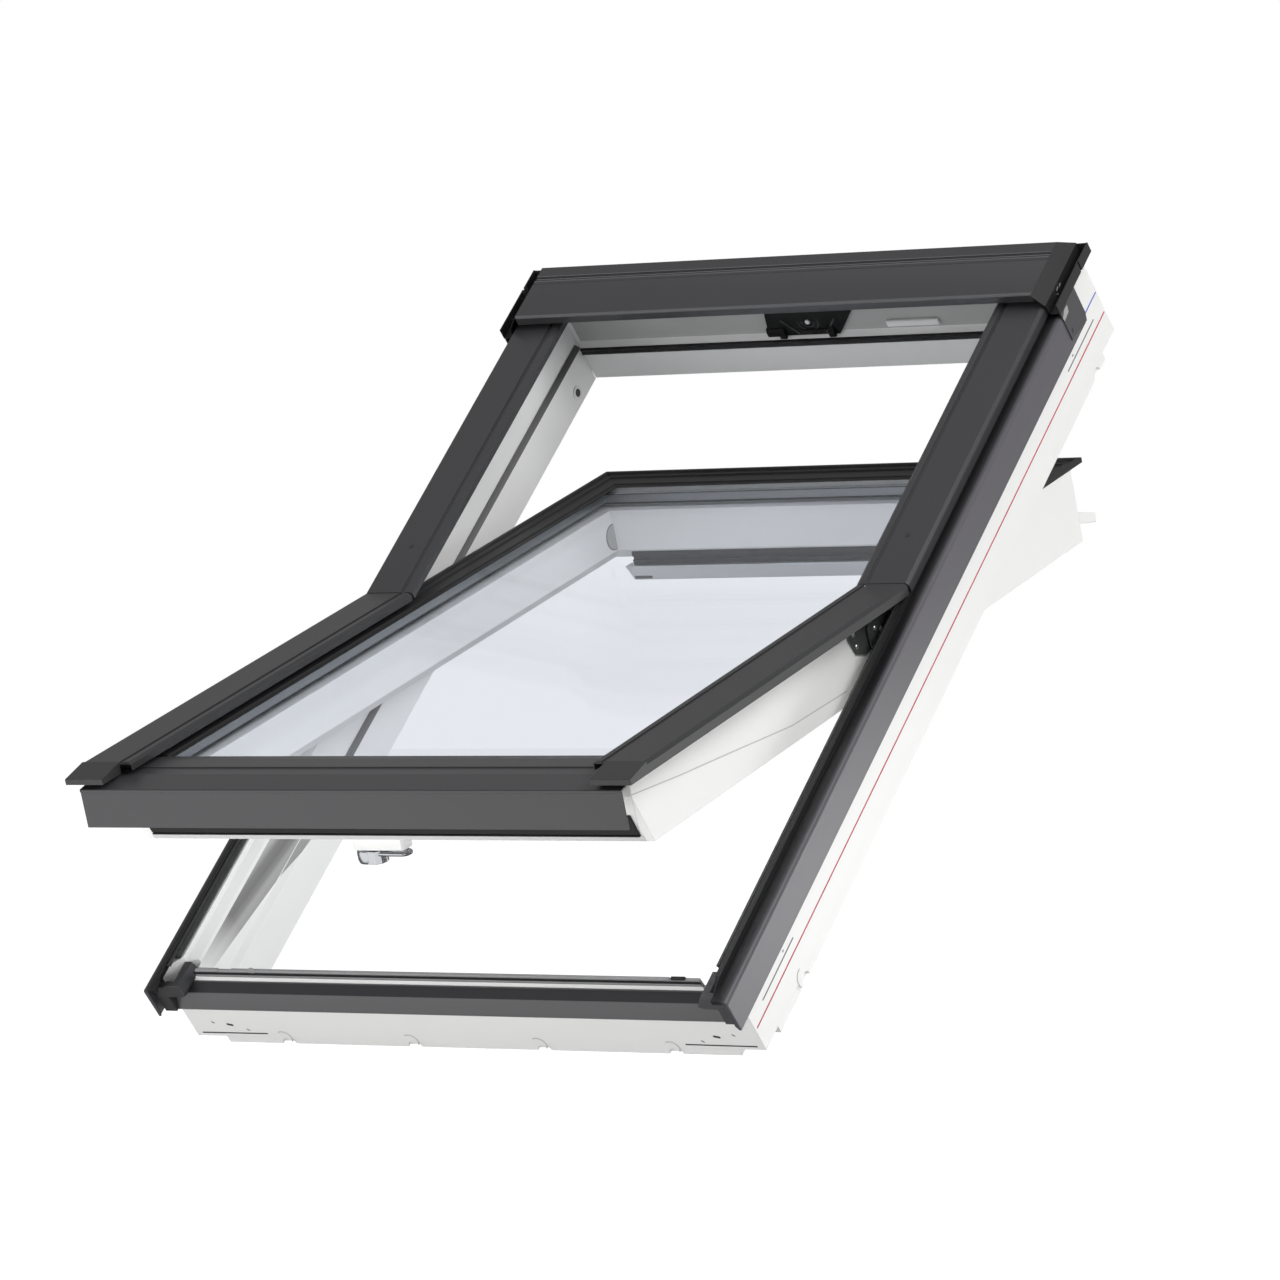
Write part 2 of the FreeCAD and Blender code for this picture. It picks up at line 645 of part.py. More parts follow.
def hood():
    """The top hood with its front lip, face, groove and back, its end caps and clip plates."""
    body = new_body("top_hood", False)
    top = hood_top
    face_end = hood_front + s["hood_face"]
    groove_end = face_end + s["hood_groove"]
    flat_end = groove_end + s["hood_flat"]
    step = top - s["sheet"]
    under = step - s["sheet"]
    pad_across(body, [
        (hood_front, top - s["hood_lip"]),
        (hood_front, top),
        (face_end, top),
        (face_end, step),
        (groove_end, step),
        (groove_end, top),
        (flat_end, top),
        (hood_back, top - s["hood_fall"]),
        (hood_back, s["frame_depth"]),
        (hood_back - s["sheet"], s["frame_depth"]),
        (hood_back - s["sheet"], top - s["hood_fall"] - s["sheet"] * 0.5),
        (flat_end - s["sheet"], under),
        (hood_front + s["sheet"], under),
        (hood_front + s["sheet"], top - s["hood_lip"]),
    ], -hood_half, hood_half)
    leg = lining_top + s["top_recess"] * 2
    pad_across(body, [
        (leg, s["frame_depth"]),
        (leg, under),
        (leg + s["sheet"], under),
        (leg + s["sheet"], s["frame_depth"]),
    ], -hood_half, hood_half)
    for name, side in SIDES:
        end_cap(new_body(f"hood_end_cap_{name}", False), side, flat_end)
        clip_plate(new_body(f"hood_clip_{name}", False), side)


def end_cap(body, side, flat_end):
    """The dished end cap of the hood: it falls to a narrow floor with an upright outer flange."""
    top = hood_top
    floor = cap_floor
    edge = cladding_edge + s["clip_thickness"] * 2
    brow = cover_half + s["sheet"]
    ledge = brow + s["sheet"] * 2
    pad_up_slope(body, mirrored([
        (hood_half, top),
        (brow + s["sheet"], cover_top + s["sheet"]),
        (ledge + s["sheet"], floor + s["sheet"]),
        (edge - s["sheet"], floor + s["sheet"]),
        (edge - s["sheet"], floor + s["cap_flange"]),
        (edge, floor + s["cap_flange"]),
        (edge, floor),
        (ledge, floor),
        (brow, cover_top + s["sheet"]),
        (hood_half, top - s["sheet"] * 1.5),
    ], side), hood_front - s["cap_reach"], hood_back)
    foot = half_width - s["sheet"]
    pad_up_slope(body, mirrored([
        (foot, s["frame_depth"]),
        (foot, floor),
        (foot - s["sheet"], floor),
        (foot - s["sheet"], s["frame_depth"]),
    ], side), s["frame_length"] - s["cladding_stop"] + s["cover_joint"], s["frame_length"])
    cut_across(body, [
        (flat_end, top + s["sheet"]),
        (hood_back + s["sheet"], top + s["sheet"]),
        (hood_back + s["sheet"], top - s["hood_fall"] + s["sheet"]),
        (hood_back, top - s["hood_fall"] + s["sheet"]),
        (flat_end, top),
    ])
    notch = hood_front + s["cap_notch_along"]
    cut_outline(body, mirrored([
        (edge - s["sheet"], notch),
        (edge + s["sheet"], notch),
        (edge + s["sheet"], notch + s["cap_notch"]),
        (edge - s["sheet"], notch + s["cap_notch"]),
    ], side))


def clip_plate(body, side):
    """The clip plate on the upper end of the side cladding, with its raised strip."""
    front = hood_front - s["cover_joint"] * 2
    head = cap_floor - s["sheet"] * 0.5
    low = cladding_top - s["leg_height"] + s["cover_joint"]
    mid = low + s["clip_strip"] * 0.5
    back = s["frame_length"] - s["cladding_stop"] + s["hinge_thickness"]
    face = cladding_edge + s["clip_thickness"]
    pad_across_side(body, [
        (front, mid),
        (back, low),
        (back + s["clip_strip"] * 0.25, mid + s["cover_joint"]),
        (back + s["clip_strip"] * 0.25, head),
        (front, head),
    ], cladding_edge, face, side)
    pad_across_side(body, [
        (front, mid),
        (front + s["clip_strip"], mid),
        (front + s["clip_strip"], head),
        (front, head),
    ], face, face + s["clip_thickness"], side)


def sash_members():
    """The four members of the sash, mitred, with the rebate for the glass."""
    outer = sash_half
    inner = outer - s["sash_member"]
    outline = [
        (outer, sash_low),
        (outer, sash_outer),
        (outer - s["sash_edge"], sash_outer),
        (outer - s["sash_edge"], glass_rebate),
        (inner, glass_rebate),
        (inner, sash_low + s["sash_chamfer"]),
        (inner + s["sash_chamfer"], sash_low),
    ]
    slant_foot = s["sash_front"]
    slant_head = s["sash_front"] - s["sash_slant"]
    inner_front = s["sash_front"] + s["sash_member"]
    inner_back = sash_back - s["sash_member"]
    for name, side in SIDES:
        body = new_body(f"sash_{name}_side", True)
        pad_up_slope(body, mirrored(outline, side), slant_head, sash_back)
        cut_outline(body, mirrored([(outer, slant_head), (inner, inner_front), (inner, slant_head)], side))
        cut_outline(body, mirrored([(outer, sash_back), (inner, inner_back), (inner, sash_back)], side))
        cut_across(body, [(slant_head, sash_low), (slant_foot, sash_low),
                          (slant_head, slant_height)])
    body = new_body("sash_bottom", True)
    pad_across(body, [
        (slant_foot, sash_low),
        (slant_head, slant_height),
        (slant_head, sash_outer - s["rib_depth"]),
        (s["glass_front"] - s["pane_gap"] * 2, sash_outer - s["rib_depth"]),
        (s["glass_front"] - s["pane_gap"] * 2, glass_rebate),
        (inner_front, glass_rebate),
        (inner_front, sash_low + s["sash_chamfer"]),
        (inner_front - s["sash_chamfer"], sash_low),
    ], -outer, outer)
    for name, side in SIDES:
        cut_outline(body, mirrored([(outer, slant_head), (inner, inner_front), (outer, inner_front)], side))
    body = new_body("sash_top", True)
    pad_across(body, [
        (sash_back, sash_low),
        (sash_back, sash_outer),
        (glass_back + s["pane_gap"], sash_outer),
        (glass_back + s["pane_gap"], glass_rebate),
        (inner_back, glass_rebate),
        (inner_back, sash_low + s["sash_chamfer"]),
        (inner_back + s["sash_chamfer"], sash_low),
    ], -outer, outer)
    for name, side in SIDES:
        cut_outline(body, mirrored([(outer, sash_back), (inner, inner_back), (outer, inner_back)], side))


def glazing():
    """Two panes with the spacer between them."""
    half = sash_half - s["sash_edge"] - s["pane_gap"]
    ring = [(half, s["glass_front"]), (half, glass_back), (-half, glass_back), (-half, s["glass_front"])]
    top = glass_outer
    body = new_body("outer_pane", True)
    pad_outward(body, ring, top - s["pane"], top)
    low = top - s["pane"] - s["spacer_height"]
    body = new_body("inner_pane", True)
    pad_outward(body, ring, low - s["pane"], low)
    body = new_body("pane_spacer", True)
    out = half - s["spacer_inset"]
    front = s["glass_front"] + s["spacer_inset"]
    back = glass_back - s["spacer_inset"]
    sketch = sketch_on(body, "XY_Plane", low)
    draw_outline(sketch, [(out, front), (out, back), (-out, back), (-out, front)])
    out = out - s["spacer_width"]
    front = front + s["spacer_width"]
    back = back - s["spacer_width"]
    draw_outline(sketch, [(out, front), (out, back), (-out, back), (-out, front)])
    pad(body, sketch, s["spacer_height"])


def bottom_cover():
    """The bent cover of the bottom sash member, with a bead along its front edge."""
    body = new_body("sash_cover_bottom", True)
    front = -s["front_face"]
    high = front_high
    sheet_in = front + s["sheet"]
    fold = s["front_fold"]
    flat = sash_outer + s["front_rise"]
    channel_end = fold + s["front_channel"]
    flat_end = channel_end + s["front_flat"]
    lap_end = flat_end + s["front_lap"]
    half = half_width - s["front_inset"]
    pad_across(body, [
        (sheet_in, front_low),
        (front, front_low),
        (front, high - s["front_bead"]),
        (front - s["bead_reach"], high - s["front_bead"]),
        (front - s["bead_reach"], high - s["bead_reach"]),
        (front, high),
        (fold, flat - s["bead_reach"] * 0.5),
        (fold, flat - s["sheet"]),
        (channel_end, flat - s["sheet"]),
        (channel_end, flat),
        (flat_end, flat),
        (lap_end, sash_outer + s["bead_reach"]),
        (lap_end, sash_outer),
        (fold, sash_outer),
        (sheet_in, high - s["sheet"] * 1.5),
    ], -half, half)
    rib_half = sash_half - s["sash_edge"] - s["spacer_inset"]
    rib = channel_end - s["rib_depth"]
    pad_across(body, [
        (rib, sash_outer),
        (rib, sash_outer - s["rib_depth"]),
        (rib + s["sheet"], sash_outer - s["rib_depth"]),
        (rib + s["sheet"], sash_outer),
    ], -rib_half, rib_half)


def seals():
    """Seals beside the upstands and on the top member, and the strip on the bottom sash member."""
    outer = cladding_edge - s["cladding_flat"] - s["sheet"]
    seat = half_width - s["rebate_width"]
    head = s["frame_depth"] + s["seal_rise"]
    crown = s["seal_crown"]
    body = new_body("frame_side_seals", False)
    for name, side in SIDES:
        pad_up_slope(body, mirrored([
            (outer, s["frame_depth"]),
            (outer, head - 1),
            (seat + crown + 1, head),
            (seat + crown, head - 2),
            (seat + crown - 1, head),
            (seat, head - 2),
            (seat + crown * 0.5, s["frame_depth"]),
        ], side), s["seal_start"] + s["rebate_width"] - s["rebate_drop"], s["pivot_along"])
        pad_up_slope(body, mirrored([
            (outer, head - 1),
            (seat + crown + 1, head),
            (seat + crown + 1, head - 3),
            (outer, head - 3),
        ], side), s["seal_start"], s["pivot_along"])
    body = new_body("frame_seal_top", False)
    top = s["top_seal_height"]
    lip = s["top_seal_lip"]
    pad_across(body, [
        (lining_top, top),
        (lining_top - lip, top - 1),
        (lining_top - lip * 0.5, top - s["top_seal_width"] * 0.5),
        (lining_top - lip, top - s["top_seal_width"] + 1),
        (lining_top, top - s["top_seal_width"]),
    ], -inner_edge, inner_edge)
    body = new_body("sash_seal_bottom", True)
    low = sash_low + s["strip_low"]
    high = low + s["strip_height"]
    foot = s["sash_front"] - s["strip_foot"]
    head = s["sash_front"] - s["strip_head"]
    proud = s["sheet"] * 2
    pad_across(body, [
        (foot, low),
        (foot - proud, low),
        (head - proud, high - s["sheet"]),
        (head, high),
    ], s["strip_inset"] - sash_half, sash_half - s["strip_inset"])


def corner_blocks():
    """Moulded blocks that close the lower corners between side and bottom cladding."""
    inner = half_width - s["rebate_width"]
    outer = cladding_edge - s["leg_gap"]
    apron = half_width - s["apron_inset"]
    head = sill + s["block_rise"]
    ridge = inner - s["block_width"] + s["leg_gap"] * 0.7
    lower = sill - s["sheet"]
    front = -s["block_reach"]
    step = cladding_edge - s["cladding_flat"] - s["sheet"] * 2
    for name, side in SIDES:
        body = new_body(f"corner_block_{name}", False)
        pad_up_slope(body, mirrored([
            (inner, head),
            (ridge, head),
            (ridge - s["block_side"], sill + s["sheet"] * 2),
            (ridge - s["block_side"], sill),
            (inner, sill),
        ], side), front, s["block_length"])
        pad_up_slope(body, mirrored([
            (inner, head),
            (inner, lower),
            (apron, lower),
            (apron, apron_low),
            (outer, apron_low),
            (outer, head - s["sheet"]),
            (step, head - s["sheet"]),
            (step, head),
        ], side), front, front + s["block_plate"])
        pad_across_side(body, [
            (front, sill),
            (s["sheet"] * 2, sill),
            (-s["apron_bend"], apron_high),
            (-s["apron_bend"] - s["sheet"], apron_high),
            (front, lower),
        ], ridge, inner, side)
        cut_across(body, [
            (front - s["sheet"], sill),
            (front, sill),
            (front + s["sheet"] * 2.5, head),
            (front - s["sheet"], head),
        ])


def rims():
    """Black glazing rim on the sides and the top of the sash."""
    inner = sash_half - s["rim_width"]
    top = sash_outer
    head = top + s["rim_rise"]
    glass = glass_outer

    def section(outer, edge, seat):
        """The section of the rim, from its outer edge towards its inner edge."""
        return [
            (outer, top),
            (outer, head),
            (outer - s["rim_bead"], head),
            (outer - s["rim_bead"] - s["rim_step"], top + s["rim_step"] * 2),
            (outer - s["rim_bead"] * 3, top + s["rim_step"] * 2),
            (outer - s["rim_bead"] * 3 - s["rim_step"], top + s["rim_step"]),
            (edge + s["rim_bead"] + s["rim_step"], top + s["rim_step"]),
            (edge + s["rim_bead"], glass + s["sheet"]),
            (edge, glass + s["sheet"] * 0.5),
            (edge, glass),
            (seat, glass),
            (seat, top),
        ]

    back = sash_back + s["rim_overhang"]
    mitre = back - s["rim_back_width"]
    for name, side in SIDES:
        body = new_body(f"glazing_rim_{name}", True)
        outline = section(sash_half, inner, sash_half - s["sash_edge"])
        pad_up_slope(body, mirrored(outline, side), s["rim_front"], back)
        cut_outline(body, mirrored([(sash_half, back), (inner, mitre), (inner, back)], side))
        rest = glass_back + s["pane_gap"]
        cut_across(body, [(rest, top), (back, top), (back, glass - s["sheet"]), (rest, glass - s["sheet"])])
    body = new_body("glazing_rim_top", True)
    pad_across(body, section(back, mitre, glass_back + s["pane_gap"]), -sash_half, sash_half)
    for name, side in SIDES:
        cut_outline(body, mirrored([(sash_half, back), (inner, mitre), (sash_half, mitre)], side))


def fittings():
    """Lock striker, small bar and bolt bushings on the frame."""
    back = lining_top + s["top_recess"]
    face = back - s["striker_thickness"]
    foot = s["shoulder_height"] + 2
    head = foot + s["striker_height"]
    body = new_body("lock_striker", False)
    half = s["striker_width"] * 0.5
    middle = s["striker_centre"]
    pad_up_slope(body, [
        (middle - half, foot + 3),
        (middle - half, head - 5),
        (middle - half + 4, head),
        (middle + half + s["striker_slant"], head),
        (middle + half + s["striker_slant"] * 0.8, head - 6),
        (middle + half, foot),
        (middle - half + 3, foot),
    ], face, back)
    sketch = sketch_on(body, "XZ_Plane", -face)
    draw_circle(sketch, (middle + s["striker_slant"] * 0.5, head - s["boss_radius"]), s["boss_radius"])
    pad(body, sketch, s["striker_thickness"])
    for place_of_hook in (s["hook_spacing"] * -0.5, s["hook_spacing"] * 0.5):
        leg = middle + place_of_hook
        reach = s["hook_reach"]
        pad_across(body, [
            (face, foot + s["hook_width"] * 2),
            (face, foot),
            (face - reach * 0.75, foot - 1),
            (face - reach, foot + 3),
            (face - reach * 0.5, foot + s["hook_width"] * 2),
        ], leg - s["hook_width"] * 0.5, leg + s["hook_width"] * 0.5)
    body = new_body("restrictor_bar", False)
    pad_across(body, [
        (back, foot + 3),
        (back, foot + 13),
        (face, foot + 12),
        (face - 1, foot + 8),
        (face, foot + 4),
    ], s["bar_centre"] - s["bar_length"] * 0.5, s["bar_centre"] + s["bar_length"] * 0.5)
    body = new_body("bolt_bushings", False)
    for name, side in SIDES:
        sketch = sketch_on(body, "YZ_Plane", inner_edge * side)
        centre = (lining_top - s["bushing_setback"], s["bushing_height"])
        draw_circle(sketch, centre, s["bushing_radius"])
        draw_circle(sketch, centre, s["bushing_radius"] - s["bushing_wall"])
        pad(body, sketch, s["sheet"], reverse=side > 0)


def hinges():
    """The two plates of each pivot hinge, drawn from the pivot axis."""
    pivot = s["pivot_along"]
    axis = pivot_height
    thickness = s["hinge_thickness"]
    for name, side in SIDES:
        body = new_body(f"hinge_sash_plate_{name}", True)
        pad_across_side(body, [
            (pivot - 93.5, axis - 26),
            (pivot - 94, axis - 37),
            (pivot - 82, axis - 58),
            (pivot - 59, axis - 66),
            (pivot - 45, axis - 62),
            (pivot - 40, axis - 48),
            (pivot - 56, axis - 20),
        ], sash_half, sash_half + thickness, side)
        body = new_body(f"hinge_frame_plate_{name}", False)
        low = axis - 62
        inside = sash_half + thickness + s["hinge_gap"]
        pad_across_side(body, [
            (pivot - 76, low),
            (pivot - 70.4, axis - 21),
            (pivot - 64, axis - 8),
            (pivot - 30, axis - 6),
            (pivot - 12, axis - 20),
            (pivot - 12, low),
        ], inside, inside + thickness, side)
        pad_across_side(body, [
            (pivot - 72, low),
            (pivot - 72, low + 24),
            (pivot - 16, low + 24),
            (pivot - 16, low),
        ], inside + thickness, inner_edge + s["shoulder_depth"], side)


def vent_parts():
    """The vent flap over the sash, and the control bar with its seal under the top member."""
    inner_back = sash_back - s["sash_member"]
    low = sash_low
    body = new_body("vent_flap", True)
    pad_across(body, [
        (sash_back, low + s["flap_root"] + 15),
        (sash_back + s["flap_reach"], low + s["flap_root"] + 1),
        (sash_back + s["flap_reach"] - 1.5, low + s["flap_root"] - 11),
        (sash_back, low + s["flap_root"]),
    ], -sash_half, sash_half)
    body = new_body("vent_seal_bar", True)
    half = s["control_bar_length"] * 0.5 - s["control_bar_slant"]
    chamfer = s["sash_chamfer"]
    foot = low - s["vent_seal_depth"]
    pad_across(body, [
        (inner_back + s["vent_seal_width"], low),
        (inner_back + chamfer, low),
        (inner_back + 2, low + chamfer - 2),
        (inner_back + 1, low + 4),
        (inner_back + 4, low + 3),
        (inner_back + 4, low),
        (inner_back + 1, low - 1),
        (inner_back + 3, foot),
        (inner_back + s["vent_seal_width"], foot),
    ], -half, half)
    body = new_body("control_bar", True)
    half = s["control_bar_length"] * 0.5
    base = foot - s["control_bar_depth"]
    pad_up_slope(body, [
        (half, foot),
        (half - s["control_bar_slant"], base),
        (s["control_bar_slant"] - half, base),
        (-half, foot),
    ], inner_back - 2, inner_back - 2 + s["control_bar_width"])


def handle():
    """The small handle of the lower sash member: a base, and a barrel with its lever."""
    low = sash_low - s["handle_base_depth"]
    half = s["handle_width"] * 0.5
    middle = s["handle_centre"]
    front = s["handle_along"]
    back = front + s["handle_base_width"]
    body = new_body("handle_base", True)
    pad_outward(body, [
        (middle - half, front + 3),
        (middle - half + 3, front),
        (middle + half - 3, front),
        (middle + half, front + 3),
        (middle + half, back - 3),
        (middle + half - 3, back),
        (middle - half + 3, back),
        (middle - half, back - 3),
    ], low, sash_low)
    body = new_body("handle", True)
    barrel = middle - half
    sketch = sketch_on(body, "YZ_Plane", barrel)
    draw_circle(sketch, (front + s["handle_base_width"] * 0.5, low - s["handle_radius"]), s["handle_radius"])
    pad(body, sketch, s["handle_barrel"])
    near = (s["handle_base_width"] - s["lever_width"]) * 0.5 + front
    pad_across(body, [
        (near, low),
        (near + s["lever_width"], low),
        (near + s["lever_width"], low - s["lever_depth"]),
        (near + s["lever_width"] * 0.5, low - s["lever_depth"] - 1),
        (near, low - s["lever_depth"]),
    ], barrel + s["handle_barrel"] * 0.5, middle + half - 2)


frame_sides()
frame_ends()
frame_cladding()
covers()
hood()
sash_members()
glazing()
bottom_cover()
seals()
corner_blocks()
rims()
fittings()
hinges()
vent_parts()
handle()

doc.recompute()

bodies = [item for item in doc.Objects if item.TypeId == "PartDesign::Body"]
for item in doc.Objects:
    if "Invalid" in item.State or "Error" in item.State:
        raise RuntimeError(f"{item.Name} failed: {item.State}")
for body in bodies:
    if body.Shape.isNull() or not body.Shape.isValid():
        raise RuntimeError(f"{body.Label} has no valid shape")

os.makedirs("parts", exist_ok=True)
for body in bodies:
    body.Shape.exportStep(f"parts/{body.Label}.step")
    print(f"{body.Label}: {len(body.Shape.Solids)} solid(s), {body.Shape.Volume / 1000:.1f} cm3")
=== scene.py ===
"""Finishes, small marks, fasteners, light and camera for an open centre pivot roof window."""

import json
import math

import bmesh
import bpy
from bpy.props import FloatProperty, FloatVectorProperty, PointerProperty
from mathutils import Euler, Matrix, Vector


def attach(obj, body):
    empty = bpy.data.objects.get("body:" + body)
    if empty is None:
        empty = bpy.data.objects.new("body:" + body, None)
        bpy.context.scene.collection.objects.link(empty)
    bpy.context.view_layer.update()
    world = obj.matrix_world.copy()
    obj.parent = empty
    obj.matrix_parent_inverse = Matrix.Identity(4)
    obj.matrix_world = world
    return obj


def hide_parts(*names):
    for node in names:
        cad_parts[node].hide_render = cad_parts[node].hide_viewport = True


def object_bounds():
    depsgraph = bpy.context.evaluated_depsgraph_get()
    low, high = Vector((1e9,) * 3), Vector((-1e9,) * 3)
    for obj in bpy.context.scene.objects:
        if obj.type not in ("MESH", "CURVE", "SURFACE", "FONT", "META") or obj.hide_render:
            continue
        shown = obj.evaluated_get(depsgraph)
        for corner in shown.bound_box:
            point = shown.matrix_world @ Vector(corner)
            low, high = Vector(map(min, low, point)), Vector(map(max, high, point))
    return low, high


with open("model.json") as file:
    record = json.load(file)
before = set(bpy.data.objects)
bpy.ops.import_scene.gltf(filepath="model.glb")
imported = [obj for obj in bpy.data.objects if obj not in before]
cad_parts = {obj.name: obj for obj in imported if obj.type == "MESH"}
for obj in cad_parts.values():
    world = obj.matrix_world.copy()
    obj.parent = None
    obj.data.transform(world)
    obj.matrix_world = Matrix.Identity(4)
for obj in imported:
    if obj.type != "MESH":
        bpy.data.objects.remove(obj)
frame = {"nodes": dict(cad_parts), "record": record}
cad_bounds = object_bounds()

bl_info = {
    "name": "Centre pivot roof window",
    "version": (1, 0, 0),
    "blender": (4, 5, 0),
    "location": "3D View > Sidebar > Roof Window",
    "description": "Lacquer, cladding, glass, marks, fasteners and light of a centre pivot roof window",
    "category": "Object",
}

MM = 0.001
# Width of the lighter edges, which paint a highlight along sharp edges.
EDGE_HIGHLIGHT_RADIUS = 0.0006

# The window is drawn shut and flat: X across it, Y up the slope from the bottom member, Z outwards.
ROOF_PITCH = math.radians(45)
OPENING_ANGLE = math.radians(26)
BATTEN_HEIGHT = 32 * MM
PIVOT_ALONG = 606 * MM
PIVOT_HEIGHT = 129 * MM

# Millimetres of the shut window that small pieces are set against.
SIDE_FACE = 390
INNER_EDGE = 350
SHOULDER = 6
SHOULDER_HEIGHT = 45
STRIP_START = 300
SHOULDER_END = 1140
CLADDING_EDGE = 398.3
CLADDING_TOP = 111.5
LEG_SHADE = 386
COVER_TOP = 129.5
SHEET = 1.5
HOOD_HALF = 370.6
HOOD_FRONT = 1080
HOOD_TOP = 149
HOOD_BACK = 1189.6
GROOVE_FLOOR = 147.5
CAP_FLOOR = 118.5
CAP_WALL = 387
CLIP_FACE = 400.1
APRON_HALF = 374.6
RAIL_TOP = 105
SASH_SIDE = 345
SASH_INNER = 300
TOP_FACE = 1147
STRIKER_FACE = 1141
BUSHING = (1094, 5)
DISC = (1043, 53)

# The photograph's camera, in metres and degrees.
CAMERA_PLACE = (4.1015, -6.0852, 0.3984)
CAMERA_TURNS = (90.285, 0.594, 32.377)

SIDES = (("left", -1), ("right", 1))
NODES_OF_SLOT = {}
for part in frame["record"]["subparts"]:
    NODES_OF_SLOT.setdefault(part["material_slot"], []).append(part["node"])

# From the coordinates of the shut, flat window to those of the frame at the roof pitch and of the open sash.
PIVOT = Matrix.Translation((0, PIVOT_ALONG, PIVOT_HEIGHT))
FRAME = Matrix.Rotation(ROOF_PITCH, 4, "X") @ Matrix.Translation((0, 0, -BATTEN_HEIGHT))
SASH = FRAME @ PIVOT @ Matrix.Rotation(-OPENING_ANGLE, 4, "X") @ PIVOT.inverted()

# Finishes: shade, roughness and what differs from a plain powder coat. The grain's depth is in metres.
# The lighter edge colour and its amount in a finish paint a highlight along its edges.
FINISHES = {
    "White lacquer": ("lacquer", 0.38, {"grain": "peel_grain", "depth": 30e-6, "tone": 0.025}),
    "Grey lacquer and painted shade": ("band", 0.45, {"grain": "peel_grain", "tone": 0.08}),
    "Lacquer with painted shade": ("shaded", 0.45, {"grain": "peel_grain"}),
    "Painted shade band": ("lacquer", 0.4, {"grain": "peel_grain"}),
    "Grey cladding": ("cladding", 0.33, {"tone": 0.10, "edge_highlight": (0.12, 0.12, 0.125), "highlight_amount": 0.35,
                                         "specular": 0.38}),
    "Clip plate coat": ("clip", 0.36, {"tone": 0.08, "edge_highlight": (0.16, 0.16, 0.165), "highlight_amount": 0.3,
                                       "specular": 0.45}),
    "Side cladding painted light and shade": ("leg", 0.36, {"tone": 0.08, "specular": 0.4}),
    "Painted bend highlight": ("bend_highlight", 0.3, {"tone": 0.1, "specular": 0.6}),
    "Painted groove shade": ("slope", 0.5, {"specular": 0.1}),
    "Sash cover coat": ("sash_cover", 0.36, {"tone": 0.08, "edge_highlight": (0.10, 0.10, 0.105), "highlight_amount": 0.35,
                                             "specular": 0.22}),
    "Apron painted light": ("apron", 0.33, {"tone": 0.08, "edge_highlight": (0.16, 0.16, 0.165), "highlight_amount": 0.3, "specular": 0.45}),
    "Painted slope shade": ("slope", 0.4, {"tone": 0.1, "specular": 0.25}),
    "Black rubber": ("rubber", 0.62, {"coarse": 2, "depth": 40e-6, "tone": 0.2}),
    "Grey rubber": ("grey_rubber", 0.55, {"coarse": 2, "depth": 40e-6, "tone": 0.1}),
    "Black plastic": ("plastic", 0.42, {"tone": 0.15, "edge_highlight": (0.06, 0.06, 0.062), "highlight_amount": 0.25}),
    "Side seal": ("side_seal", 0.5, {"coarse": 2, "depth": 30e-6, "tone": 0.2}),
    "Black rim": ("rim", 0.50, {"tone": 0.15, "specular": 0.3}),
    "Corner moulding": ("block", 0.34, {"tone": 0.15, "edge_highlight": (0.12, 0.12, 0.122), "highlight_amount": 0.4}),
    "Shoulder strip": ("strip", 0.5, {"coarse": 2, "depth": 30e-6}),
    "Striker plastic": ("striker", 0.5, {"specular": 0.15}),
    "Spacer metal": ("spacer", 0.30, {"depth": 10e-6, "metallic": 0.8}),
    "Sealant": ("sealant", 0.5, {"depth": 10e-6, "tone": 0.2}),
    "Hinge zinc": ("hinge", 0.4, {"metallic": 0.5, "edge_highlight": (0.3, 0.3, 0.3), "highlight_amount": 0.5}),
    "Satin metal": ("satin", 0.36, {"depth": 10e-6, "metallic": 0.85}),
    "Chrome": ("chrome", 0.24, {"grain": "peel_grain", "depth": 4e-6, "tone": 0.02, "metallic": 1.0}),
    "Bare metal": ("bare_metal", 0.28, {"depth": 10e-6, "metallic": 0.9}),
}


def colour(description, default):
    """A colour property."""
    return FloatVectorProperty(name=description, description=description, subtype="COLOR", size=3,
                               min=0, max=1, default=default)


def share(description, default):
    """A number from 0 to 1."""
    return FloatProperty(name=description, description=description, subtype="FACTOR", min=0, max=1,
                         default=default)


def length(description, default):
    """A length in metres."""
    return FloatProperty(name=description, description=description, subtype="DISTANCE", unit="LENGTH",
                         min=0, precision=5, default=default)


def power(description, default):
    """A lamp's power."""
    return FloatProperty(name=description, description=description, unit="POWER", min=0, default=default)


